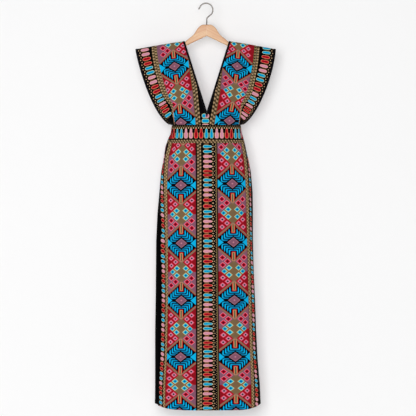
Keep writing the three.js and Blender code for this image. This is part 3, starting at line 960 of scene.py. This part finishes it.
# the bodice's print follows its panels, which lean outwards towards the shoulder
bodiceLay = {
    # drop, middle of the panel and lean of its rows, for each side
    -1: {"drop": [0.095, 0.198, 0.306], "middle": [0.1225, 0.108, 0.0977], "lean": [0.16, 0.24, 0.04],
         "levels": [0.0955, 0.2000, 0.3100]},
    1: {"drop": [0.095, 0.195, 0.304], "middle": [0.115, 0.105, 0.0852], "lean": [0.20, 0.25, 0.05],
        "levels": [0.0955, 0.1950, 0.3025]},
    "width": 62 / 0.0545,       # millimetres of print for each metre across
    "shoulderHeight": 1150.0,   # levels are the drops of medallion, lattice and medallion
}
bodiceRows = [0, 0.002, 0.009, 0.028, 0.045, 0.06, 0.075, *[0.09 + 0.91 * step / 66 for step in range(67)]]


def layValue(lay, label, drop):
    # the table's value, which past either end runs on at a gentler slope
    drops, values = lay["drop"], lay[label]
    value = float(np.interp(drop, drops, values))
    if drops[0] < drop < drops[-1]:
        return value
    end, beside = (0, 1) if drop <= drops[0] else (-1, -2)
    return value + (values[beside] - values[end]) / (drops[beside] - drops[end]) * (drop - drops[end]) * 0.6


def braidPlace(side, drop, fromSeam):
    # millimetres across the braid beside the wing seam, which narrows to a line above the waist
    width = np.interp(drop, [0.200, 0.238, 0.259, 0.318], [20.0, 12.0, 5.0, 4.0])
    inside = np.interp(drop, [0.05, 0.13, 0.20], [9.5, 5.5, 0.0]) if side > 0 else 0.0
    return (fromSeam + inside) * braidWidth / width


wingBeads = {
    # where along the armhole edge the beads lie, in millimetres, with their numbers
    -1: {"at": [14, 108, 167, 186, 208, 226, 241, 254, 269, 289],
         "number": [0, 5, 8, 9, 10, 11, 12, 13, 14, 15]},
    1: {"at": [4, 98, 175, 197.5, 216, 233.5, 249.5, 262.5, 272.5, 285.5, 301],
        "number": [0, 5, 9, 10, 11, 12, 13, 14, 15, 16, 17]},
}


def beadNumber(lay, place):
    # counts beads along a column; past either end they go on evenly
    numbers = np.interp(place, lay["at"], lay["number"])
    for end, beside in ((0, 1), (-1, -2)):
        step = (lay["at"][end] - lay["at"][beside]) / (lay["number"][end] - lay["number"][beside])
        beyond = (place - lay["at"][end]) / step
        past = beyond < 0 if end == 0 else beyond > 0
        numbers = np.where(past, lay["number"][end] + beyond, numbers)
    return numbers


def awayFrom(points, line):
    # how far each point of the grid is from each point of the line, in millimetres
    return np.linalg.norm(points[:, :, None, :] - line[None, None], axis=3) * mm


def bodicePiece(side, face):
    points = bodiceGrid(side, face, ("neck", cloth["gap"]), ("seam", cloth["seamGap"]), bodiceRows,
                        uneven(grids["bodice"]))
    points = sinkSeams(points, face, ["right", "bottom"])
    half = (points[:, :, 0] - bodyX) * side
    drop = neckZ - points[:, :, 2]
    lay = bodiceLay[side]
    first, second, third = lay["levels"]
    across, down = np.zeros_like(half), np.zeros_like(half)
    for place in np.ndindex(half.shape):
        middle = layValue(lay, "middle", drop[place])
        across[place] = (half[place] - middle) * bodiceLay["width"]
        level = drop[place] + (middle - half[place]) * layValue(lay, "lean", drop[place])
        if level < first:
            down[place] = (level - first) * bodiceLay["shoulderHeight"]
        elif level < second:
            down[place] = (level - first) / (second - first) * halfRepeat
        else:
            down[place] = halfRepeat + (level - second) / (third - second) * halfRepeat
    fromSeam = -mm * np.linalg.norm(points - points[:, -1:], axis=2)
    values = {"across": across, "down": down, "swap": np.full_like(half, side > 0), "drop": drop * mm,
              "centre": side * half * mm + 5, "braid": braidPlace(side, drop, fromSeam)}
    return clothPiece("bodice", side, face, points, values)


def wingPiece(side, face):
    points = bodiceGrid(side, face, ("seam", cloth["seamGap"]), ("armhole", cloth["edgeGap"]), bodiceRows,
                        uneven(grids["wing"]))
    points = sinkSeams(points, face, ["left", "bottom"])
    edge = points[:, -1]
    lengths = lengthsAlong(edge)
    fine = np.linspace(0, lengths[-1], 500)
    line = np.stack([np.interp(fine, lengths, edge[:, axis]) for axis in range(3)], axis=1)
    away = awayFrom(points, line)
    fromEdge, along = away.min(axis=2), fine[away.argmin(axis=2)] * mm
    drop = neckZ - points[:, :, 2]
    values = {"across": fromEdge, "down": along, "fromEdge": fromEdge, "along": along,
              "narrow": np.clip((drop - 0.25) / 0.012, 0, 1),
              "beadAlong": beadNumber(wingBeads[side], along) * beadPitch,
              "braid": braidPlace(side, drop, awayFrom(points, points[:, 0]).min(axis=2)),
              "turn": np.full_like(fromEdge, -side)}
    return clothPiece("wing", side, face, points, values)


def sectionAt(drop):
    return [float(np.interp(drop, sections["drop"], sections[label])) for label in ("left", "right", "depth")]


def foldAt(angle, drop):
    degrees = math.degrees(angle)
    return sum(depth * math.exp(-((degrees - at) / spread) ** 2) * smooth(start, hem["drop"], drop)
               for at, spread, depth, start in skirtFolds)


def smallFolds(angle, drop):
    # shallow puckers under the waist seam and slow waves down the length
    gather = soften(math.cos(angle) * 9, math.sin(angle) * 9, drop * 4, 2) * 0.0022
    gather *= smooth(0.372, 0.40, drop) * smooth(0.60, 0.42, drop)
    wave = soften(math.cos(angle) * 3.2, math.sin(angle) * 3.2, drop * 2.2, 3) * 0.0030
    wave += soften(math.cos(angle) * 7, math.sin(angle) * 7, drop * 7, 4) * 0.0009
    return gather + wave * smooth(0.372, 0.46, drop)


def ringPoint(angle, drop, face):
    left, right, depth = sectionAt(drop)
    half = left if math.cos(angle) < 0 else right
    out = abs(math.sin(angle))
    depth = (depth + foldAt(angle, drop)) * out + smallFolds(angle, drop) * min(out * 4, 1)
    return (bodyX + half * math.cos(angle), face * max(depth, cloth["gap"]), neckZ - drop)


def hemDrop(angle):
    across = abs(math.cos(angle))
    curve = hem["leftCurve"] if math.cos(angle) < 0 else hem["rightCurve"]
    return hem["drop"] - hem["sideRise"] * across ** curve


def ringGrid(face, top, bottomOf, rowShares, columns, opened=None):
    grid = []
    for share in rowShares:
        nominal = lerp(top, bottomOf(math.pi / 2), share)
        gapAngle = opened(nominal) if opened else 0.0
        line = []
        for column in range(columns + 1):
            turn = column / columns
            angle = lerp(0, math.pi - gapAngle, turn) if face < 0 else lerp(2 * math.pi, math.pi, turn)
            line.append(ringPoint(angle, lerp(top, bottomOf(angle), share), face))
        grid.append(line)
    return np.array(grid)


def arcFromMiddle(points):
    # distance along each row from the garment's centre line, with its sign, in millimetres
    arcs = []
    for row in points:
        arc, x = lengthsAlong(row), row[:, 0] - bodyX
        order = np.argsort(x)
        arcs.append((np.interp(0.0, x[order], arc[order]) - arc) * (-1 if x[0] < x[-1] else 1))
    return np.array(arcs) * mm


skirtLay = {
    # where the printed panels begin and end on each side, at a few drops
    "drop": [0.395, 0.434, 0.470, 0.545, 0.764, 0.978, 1.193, 1.298, 1.355],
    "leftOuter": [-0.1333, -0.1435, -0.1470, -0.1502, -0.1475, -0.1475, -0.1514, -0.1575, -0.1580],
    "leftInner": [-0.0418, -0.0410, -0.0405, -0.0403, -0.0400, -0.0400, -0.0398, -0.0400, -0.0402],
    "rightInner": [0.0385, 0.0390, 0.0395, 0.0399, 0.0418, 0.0433, 0.0452, 0.0475, 0.0478],
    "rightOuter": [0.1320, 0.1385, 0.1425, 0.1472, 0.1529, 0.1581, 0.1642, 0.1687, 0.1698],
    "inner": 41.0, "outer": 165.0,          # the same edges in millimetres of print
    "firstLattice": 0.4343, "halfRepeat": 0.1106, "closing": 0.00035,   # half repeats shorten downwards
    "rightRise": 0.0065, "backWidth": 0.97,
    "beadShift": [1.1, 1.0, 0.5, 0.1, -0.4, -0.7, -1.4, -3.2, -4.1],   # millimetres, at the drops above
    # beads counted down three columns
    "beads": {"at": [0.4003, 0.4939, 0.5071, 0.5267, 0.6016, 0.6251, 0.6454, 0.7368, 0.8516, 0.9411, 1.0496,
                     1.1396, 1.1534, 1.1722, 1.2592, 1.3677],
              "number": [0, 5, 6, 7, 11, 12, 13, 18, 24, 29, 35, 40, 41, 42, 47, 53]},
    -1: {"at": [0.4752, 0.5142, 0.5736, 0.6204, 0.8333, 1.0553, 1.3669], "number": [0, 2, 5, 8, 19, 31, 48]},
    1: {"at": [0.4502, 0.6734, 0.8576, 1.0553, 1.3379], "number": [0, 12, 22, 33, 49]},
}
# outside a panel: how far off its edge the braid and the small beads begin and end
edgeLay = {
    "print": [0, 1, 8.5, 11, 28.5],
    -1: {"drop": [0.51, 0.72, 1.15, 1.33],
         "off": [[0, 2, 10.8, 15, 23.9], [0, 1, 8, 10, 27.2], [0, 1, 5.4, 9, 24.5], [0, 1, 5.6, 9.6, 22.5]]},
    1: {"drop": [0.51, 0.774, 0.9, 1.18, 1.33],
        "off": [[0, 1.6, 8.4, 13.4, 19.7], [0, 1.2, 8, 11, 17.8], [0, 1, 8, 11, 21.5],
                [0, 1.6, 8.4, 11.5, 20.4], [0, 1.2, 8.4, 13, 25]]},
}


def printDown(drop):
    # how many half repeats lie above this drop, solved from drop = first + half * n - closing * n * n
    half, closing = skirtLay["halfRepeat"], skirtLay["closing"]
    below = drop - skirtLay["firstLattice"] + 0.0022 * np.clip((0.5 - drop) / 0.06, 0, 1)
    number = (half - np.sqrt(np.maximum(half * half - 4 * closing * below, 0))) / (2 * closing)
    return (number - 1) * halfRepeat


def printAcross(points):
    arc = arcFromMiddle(points)
    across = np.zeros_like(arc)
    for row in range(points.shape[0]):
        x = points[row, :, 0] - bodyX
        drop = neckZ - points[row, :, 2].mean()
        order = np.argsort(x)
        marks = []
        for side, name in sideName.items():
            inner, outer = (float(np.interp(drop, skirtLay["drop"], skirtLay[name + edge]))
                            for edge in ("Inner", "Outer"))
            marks.append((inner, side * skirtLay["inner"]))
            lay = edgeLay[side]
            for place, value in enumerate(edgeLay["print"]):
                off = float(np.interp(drop, lay["drop"], [offs[place] for offs in lay["off"]]))
                marks.append((outer + side * off / mm, side * (skirtLay["outer"] + value)))
        marks = sorted(mark for mark in marks if x.min() + 0.001 < mark[0] < x.max() - 0.001)
        knots = np.interp([mark[0] for mark in marks], x[order], arc[row][order])
        across[row] = np.interp(arc[row], knots, [mark[1] for mark in marks])
        # past the last mark the print runs on at its own width
        across[row] += np.minimum(arc[row] - knots[0], 0) + np.maximum(arc[row] - knots[-1], 0)
    return across


def openedAt(nominal):
    (widerFrom, widerTo, wider), (narrowFrom, narrowTo, narrower) = slit["wider"], slit["narrower"]
    change = wider * smooth(widerFrom, widerTo, nominal) - narrower * smooth(narrowFrom, narrowTo, nominal)
    return slit["openAngle"] * smooth(0, slit["easeOver"], nominal - slit["drop"]) * (1 + change)


def skirtPiece(face):
    rows, columns = grids["skirt"]
    shares = [0, 0.0016, 0.0036, *[step / rows for step in range(1, rows - 1)], 1 - 0.0035, 1 - 0.0012, 1]
    top = waist["bottom"] + cloth["gap"]
    points = ringGrid(face, top, hemDrop, shares, columns, openedAt if face < 0 else None)
    points = sinkSeams(points, face, ["top"])
    # the turned hem stands a little proud below its stitch line
    toHem = np.linalg.norm(points - points[-1:], axis=2)
    turned = np.exp(-(toHem / hem["turned"]) ** 6) - np.exp(-((toHem - hem["stitch"]) / hem["groove"]) ** 2)
    points += gridNormals(points, face) * (hem["proud"] * turned)[:, :, None]
    across = printAcross(points) if face < 0 else arcFromMiddle(points) * skirtLay["backWidth"]
    drop = neckZ - points[:, :, 2]
    shift = skirtLay["rightRise"] * np.clip((across - 16) / 22, 0, 1) * np.clip((1.1 - drop) / 0.6, 0, 1)
    middle, left, right = (beadNumber(skirtLay[column], drop) * beadPitch for column in ("beads", -1, 1))
    values = {"across": across, "down": printDown(drop + shift), "fromTop": (drop - waist["bottom"]) * mm,
              "fromBeads": across - 3.4 - np.interp(drop, skirtLay["drop"], skirtLay["beadShift"]),
              "beadAlong": middle, "edgeAlong": np.where(across < 0, left, right)}
    return clothPiece("skirt", None, face, points, values, strips=2)


def bandPiece(face):
    top, bottom = waist["drop"] + cloth["gap"], waist["bottom"] - cloth["gap"]
    rows, columns = grids["band"]
    points = ringGrid(face, top, lambda angle: bottom, uneven(rows, (0.02, 0.045)), columns)
    points = sinkSeams(points, face, ["top", "bottom"])
    drop = neckZ - points[:, :, 2]
    across = arcFromMiddle(points)
    across *= 1 + 0.045 * np.clip((np.abs(across) - 90) / 110, 0, 1)      # the print is wider at the sides
    values = {"across": across, "down": drop * mm, "fromTop": (drop - waist["drop"]) * mm,
              "half": np.abs(points[:, :, 0] - bodyX) * mm}
    return clothPiece("waistband", None, face, points, values, strips=4)


tape = {
    # the strip folded round an edge: how far into the cloth, and how far above its outer face
    "section": [
        (0.0060, 0.0001), (0.0063, 0.0005), (0.0058, 0.0009), (0.0040, 0.0011), (0.0015, 0.0012),
        (-0.0004, 0.0010), (-0.0013, 0.0003), (-0.0016, -0.0007), (-0.0013, -0.0017), (-0.0004, -0.0024),
        (0.0015, -0.0026), (0.0040, -0.0025), (0.0058, -0.0023), (0.0063, -0.0019), (0.0060, -0.0015),
        (0.0030, -0.0015), (-0.0003, -0.0015), (-0.0003, 0.0001), (0.0030, 0.0001),
    ],
    "pucker": 0.06, "puckerTurns": 900, "armholeEnd": 0.988, "lanes": 4,
}


def bindingStations(side, edge):
    # edge points from low at the front, over the shoulder, to low at the back
    last = veeDrop / waist["drop"] if edge == "neck" else tape["armholeEnd"]
    shares = [share for share in bodiceRows if share < last - 0.006] + [last]
    inner, outer, columns = ("neck", "seam", "bodice") if edge == "neck" else ("seam", "armhole", "wing")
    front, back = (bodiceGrid(side, face, (inner, 0), (outer, 0), shares, uneven(grids[columns]))
                   for face in (-1, 1))
    both = np.concatenate([front[::-1], back[1:]])
    if edge == "armhole":
        both = both[:, ::-1]
    ridge = len(front) - 1
    both[ridge, :, 1] = 0
    return both, ridge


def bindingPiece(side, edge):
    grid, ridge = bindingStations(side, edge)
    edgeLine = grid[:, 0]
    along = np.gradient(edgeLine, axis=0)
    along /= np.linalg.norm(along, axis=1, keepdims=True)
    run = lengthsAlong(edgeLine)
    places, into = [], []
    for station, way in enumerate(along):
        across = grid[station] - edgeLine[station]
        inward = across[4] - way * np.dot(across[4], way)
        inward /= np.linalg.norm(inward)
        reach = np.linalg.norm(across - way * (across @ way)[:, None], axis=1)
        order = np.argsort(reach)
        normal = np.cross(way, inward)
        pucker = 1
        if station == ridge:
            normal *= 1 if normal[2] > 0 else -1
        else:
            normal *= -1 if normal[1] * (station - ridge) < 0 else 1
            pucker += tape["pucker"] * math.sin(run[station] * tape["puckerTurns"] + side)
        for deep, lift in tape["section"]:
            base = inward * deep
            if deep > 0:
                # a point that lies along the panel's own curve
                base = np.array([np.interp(deep, reach[order], across[order, axis]) for axis in range(3)])
                base = base - way * np.dot(base, way)
            places.append(edgeLine[station] + base + normal * (lift if lift < 0 else lift * pucker))
            into.append(deep * mm)
    places = np.array(places)
    count, stations = len(tape["section"]), len(edgeLine)
    if edge == "neck":
        # both ends stop at the garment's centre line
        for station in (0, stations - 1):
            ring = slice(station * count, (station + 1) * count)
            reach = (bodyX + side * cloth["gap"] - places[ring, 0]) / along[station][0]
            places[ring] += along[station][None] * reach[:, None]
    faces, corners = [], []
    share, lanes = run / run[-1], tape["lanes"]
    for station in range(stations - 1):
        # the strip is folded into lanes on the bake's square
        lane = min(int(share[station] * lanes), lanes - 1)
        low, high = ((share[end] * lanes - lane) * 0.95 for end in (station, station + 1))
        for step in range(count):
            a, b = station * count + step, station * count + (step + 1) % count
            faces.append([a, b, b + count, a + count])
            left, right = ((lane + end / count * 0.96) / lanes for end in (step, step + 1))
            corners.extend([(left, low), (right, low), (right, high), (left, high)])
    ends = [list(range(count)), [(stations - 1) * count + step for step in range(count)][::-1]]
    for ring, spot in zip(ends, (0.0, 0.5)):
        faces.append(ring)
        corners.extend((spot + 0.002 * step, 0.97 + 0.01 * (step % 2)) for step in range(count))
    values = {"into": into, "along": np.repeat(run * mm, count)}
    piece = buildMesh(f"{edge}_binding_{sideName[side]}_tape", places, faces, [0] * len(faces), corners,
                      values, 1, [finish["binding"]])
    mesh = bmesh.new()
    mesh.from_mesh(piece.data)
    bmesh.ops.recalc_face_normals(mesh, faces=mesh.faces)
    mesh.to_mesh(piece.data)
    mesh.free()
    return piece


pieces = []
for side in (-1, 1):
    for face in (-1, 1):
        pieces += [bodicePiece(side, face), wingPiece(side, face)]
    pieces += [bindingPiece(side, edge) for edge in ("neck", "armhole")]
print("bodice, wings and bindings built")
for face in (-1, 1):
    pieces += [bandPiece(face), skirtPiece(face)]
print("waistband and skirt built")


hanger = {
    "thickness": 0.0126, "topZ": -0.0785, "crownHalf": 0.014, "underZ": -0.1214, "end": 0.212,
    "height": 0.020, "clearance": 0.0036, "edgeRound": 0.0038, "lean": 24, "seam": 0.00012,
    "wire": 0.0025, "ringHalf": 0.0008, "ring": 0.0256, "ringTurn": (140, -38), "tip": (-0.0276, -0.0212),
    "bend": (0.0088, -0.0492), "bendLow": -0.0575, "stemLow": -0.0800, "bore": 0.002,
}


def lineMesh(name, settings, line, radii=None):
    # a bevelled curve through the points, as a mesh; a flat one is closed and filled
    curve = bpy.data.curves.new(name, "CURVE")
    for label, value in settings.items():
        setattr(curve, label, value)
    spline = curve.splines.new("POLY")
    spline.points.add(len(line) - 1)
    spline.use_cyclic_u = curve.dimensions == "2D"
    for step, point in enumerate(spline.points):
        point.co = (*line[step], 1)
        point.radius = radii[step] if radii else 1
    holder = placed(name, curve)
    bpy.context.view_layer.update()
    mesh = bpy.data.meshes.new_from_object(holder)
    bpy.data.objects.remove(holder)
    return mesh


def bezier(start, first, second, end, count=14):
    return [tuple((1 - t) ** 3 * a + 3 * (1 - t) ** 2 * t * b + 3 * (1 - t) * t * t * c + t ** 3 * d
                  for a, b, c, d in zip(start, first, second, end))
            for t in (step / count for step in range(1, count + 1))]


def armOutline():
    def under(half):
        return neckZ - shoulderDrop(1, half) - hanger["clearance"]

    end, height = hanger["end"], hanger["height"]
    line = [(-0.012, hanger["underZ"]), (0.0, hanger["underZ"]), (0.062, -0.151)]
    line += bezier((0.062, -0.151), (0.077, -0.1593), (0.093, under(0.112) - height + 0.002),
                   (0.112, under(0.112) - height))
    line += [(end - 0.012, under(end - 0.012) - height + 0.003)]
    line += bezier(line[-1], (end - 0.002, under(end) - height + 0.003), (end, under(end) - 0.016),
                   (end, under(end) - 0.009), 8)
    line += bezier(line[-1], (end, under(end) - 0.003), (end - 0.004, under(end)),
                   (end - 0.012, under(end - 0.012)), 8)
    line += [(half, under(half)) for half in (0.190, 0.175, 0.150, 0.125, 0.105, 0.083)]
    line += bezier(line[-1], (0.070, -0.131), (0.056, -0.125), (0.046, -0.111))
    line += bezier(line[-1], (0.040, -0.101), (0.030, -0.0815), (hanger["crownHalf"], hanger["topZ"]))
    line += [(-0.012, hanger["topZ"])]
    return line


def armPiece(side):
    name = "hanger_arm_" + sideName[side]
    edge = hanger["edgeRound"]
    settings = {"dimensions": "2D", "fill_mode": "BOTH", "extrude": hanger["thickness"] / 2 - edge,
                "bevel_depth": edge, "bevel_resolution": 5, "offset": -edge}
    solid = lineMesh(name + "_outline", settings, [(x, z, 0) for x, z in armOutline()])
    shape = bmesh.new()
    shape.from_mesh(solid)
    bmesh.ops.remove_doubles(shape, verts=shape.verts, dist=0.00002)
    whole = shape.verts[:] + shape.edges[:] + shape.faces[:]
    cut = bmesh.ops.bisect_plane(shape, geom=whole, plane_co=(hanger["seam"], 0, 0), plane_no=(1, 0, 0),
                                 clear_inner=True)
    rim = [item for item in cut["geom_cut"] if isinstance(item, bmesh.types.BMEdge)]
    bmesh.ops.holes_fill(shape, edges=rim)
    for vert in shape.verts:
        x, z, y = vert.co
        vert.co = (bodyX + side * x, -y, z)
    bmesh.ops.recalc_face_normals(shape, faces=shape.faces)
    shape.to_mesh(solid)
    shape.free()
    solid.name = name
    # grain runs along the arm, which falls away from the crown
    lean = math.radians(hanger["lean"])
    flat = []
    for vertex in solid.vertices:
        x, z = (vertex.co.x - bodyX) * side, vertex.co.z
        alongArm = x * math.cos(lean) - z * math.sin(lean)
        overArm = x * math.sin(lean) + z * math.cos(lean)
        flat += [alongArm * 9 + side * 3, vertex.co.y * 60, overArm * 130]
    solid.attributes.new("grain", "FLOAT_VECTOR", "POINT").data.foreach_set("vector", flat)
    # flat faces stay flat beside the rounded edges
    solid.polygons.foreach_set("use_smooth", [abs(face.normal.y) < 0.999 for face in solid.polygons])
    solid.set_sharp_from_angle(angle=math.radians(40))
    solid.materials.append(finish["wood"])
    return placed(name + "_wood", solid)


def hookPiece():
    # a flared tip, a round ring, a straight slope and a bend into the stem
    def onRing(degrees):
        angle = math.radians(degrees)
        return (hanger["ringHalf"] + hanger["ring"] * math.cos(angle),
                hanger["wire"] + hanger["ring"] * (math.sin(angle) - 1))

    tip, bend, topZ = hanger["tip"], hanger["bend"], hanger["topZ"]
    high, low = (onRing(degrees) for degrees in hanger["ringTurn"])
    path = [tip]
    path += bezier(tip, (tip[0] + 0.0024, tip[1] + 0.0046), (high[0] - 0.0039, high[1] - 0.0046), high, 10)
    path += [onRing(lerp(*hanger["ringTurn"], step / 40)) for step in range(1, 41)]
    path += bezier(low, (low[0] - 0.0030, low[1] - 0.0038), (bend[0] + 0.0034, bend[1] + 0.0030), bend, 8)
    path += bezier(bend, (bend[0] - 0.0030, bend[1] - 0.0026), (bodyX, hanger["bendLow"] + 0.0030),
                   (bodyX, hanger["bendLow"]), 8)
    path += [(bodyX, topZ + 0.0004), (bodyX, topZ + 0.0002), (bodyX, hanger["stemLow"])]
    slim = hanger["bore"] / hanger["wire"]          # where it enters the wood
    radii = [0.55, 0.85] + [1] * (len(path) - 4) + [slim, slim]
    settings = {"dimensions": "3D", "bevel_depth": hanger["wire"], "bevel_resolution": 6,
                "use_fill_caps": True}
    mesh = lineMesh("hook_line", settings, [(x, 0, z) for x, z in path], radii)
    mesh.name = "hook"
    mesh.polygons.foreach_set("use_smooth", [True] * len(mesh.polygons))
    mesh.materials.append(finish["steel"])
    return placed("hook_wire", mesh)


pieces += [armPiece(-1), armPiece(1), hookPiece()]
print("hanger built")

# what each piece stands for, and the slot each would take, which is looked up but not given to the piece
standsFor = {
    "bodice_front_left": "bodice_front", "bodice_front_right": "bodice_front",
    "bodice_back_left": "bodice_back", "bodice_back_right": "bodice_back", "hook": "hanger_hook",
}
slots = {"binding": "black_binding", "hanger_arm": "hanger_wood", "hook": "hook_steel"}
for piece in pieces:
    stem = piece.name.rsplit("_", 1)[0]
    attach(piece, "root")
    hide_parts(standsFor.get(stem, stem))
    next((slot for key, slot in slots.items() if key in stem), "printed_cloth")


room = {
    "wallY": 0.111, "wallTop": 1.2, "floorZ": -1.62, "halfWidth": 2.2, "floorFront": -3.0, "wallTone": 0.60,
    "floorTone": 0.8, "wallGlow": 0.30, "worldStrength": 0.24,
}
lamps = {
    # place, aim, size and power
    "key": ((-0.7, -6.8, -0.1), (0, 0, -0.75), 3.2, 395),
    "back": ((0.8, 6.0, 0.4), (0, 0, -0.8), 3.5, 260),
    "left side": ((-4.5, 1.0, -0.2), (0, 0, -0.8), 2.5, 60),
    "right side": ((4.5, 1.0, -0.2), (0, 0, -0.8), 2.5, 60),
}


def plainSurface(name, tone, scale):
    material, tree, shader = newMaterial(name)
    colour = paint(speckle(tree, scale), (tone, tone, tone, 1), (tone * 0.99, tone * 0.99, tone * 0.992, 1))
    colour.into(shader.inputs["Base Color"])
    adjust(shader, {"Roughness": 0.9, "Specular IOR Level": 0.1})
    return material, tree, shader


def stagePlane(name, corners, material):
    mesh = bpy.data.meshes.new(name)
    mesh.from_pydata(corners, [], [(0, 1, 2, 3)])
    mesh.materials.append(material)
    placed(name, mesh)


def makeRoom():
    half, wallY, floorZ, front = room["halfWidth"], room["wallY"], room["floorZ"], room["floorFront"]
    wallMaterial, tree, shader = plainSurface("wall paint", room["wallTone"], 3)
    # the wall also glows a little: painted light that lifts the shadows cast on it
    adjust(shader, {"Emission Color": (1, 1, 1, 1), "Emission Strength": room["wallGlow"]})
    # only the camera sees the wall, and only from its front; light passes through it
    behind = Wire(tree, tree.nodes.new("ShaderNodeNewGeometry").outputs["Backfacing"])
    seen = Wire(tree, tree.nodes.new("ShaderNodeLightPath").outputs["Is Camera Ray"])
    mix = tree.nodes.new("ShaderNodeMixShader")
    behind.most(1 - seen).into(mix.inputs[0])
    tree.links.new(shader.outputs[0], mix.inputs[1])
    tree.links.new(tree.nodes.new("ShaderNodeBsdfTransparent").outputs[0], mix.inputs[2])
    tree.links.new(mix.outputs[0], tree.nodes["Material Output"].inputs["Surface"])
    wall = [(-half, wallY, floorZ), (half, wallY, floorZ), (half, wallY, room["wallTop"]),
            (-half, wallY, room["wallTop"])]
    stagePlane("wall", wall, wallMaterial)
    floor = [(x * half * 2, y, floorZ) for x, y in ((-1, front), (1, front), (1, -front), (-1, -front))]
    stagePlane("floor", floor, plainSurface("floor paint", room["floorTone"], 4)[0])
    world = bpy.data.worlds.new("room")
    world.use_nodes = True
    adjust(world.node_tree.nodes["Background"], {"Color": (1, 1, 1, 1), "Strength": room["worldStrength"]})
    bpy.context.scene.world = world


def areaLight(name, place, aim, size, power):
    lamp = bpy.data.lights.new(name, "AREA")
    lamp.energy = power
    lamp.size = size
    holder = placed(name, lamp)
    holder.location = place
    holder.rotation_mode = "QUATERNION"
    holder.rotation_quaternion = (Vector(aim) - Vector(place)).to_track_quat("-Z", "Y")


makeRoom()
for name, lamp in lamps.items():
    areaLight(name, *lamp)
print("room and lights placed")
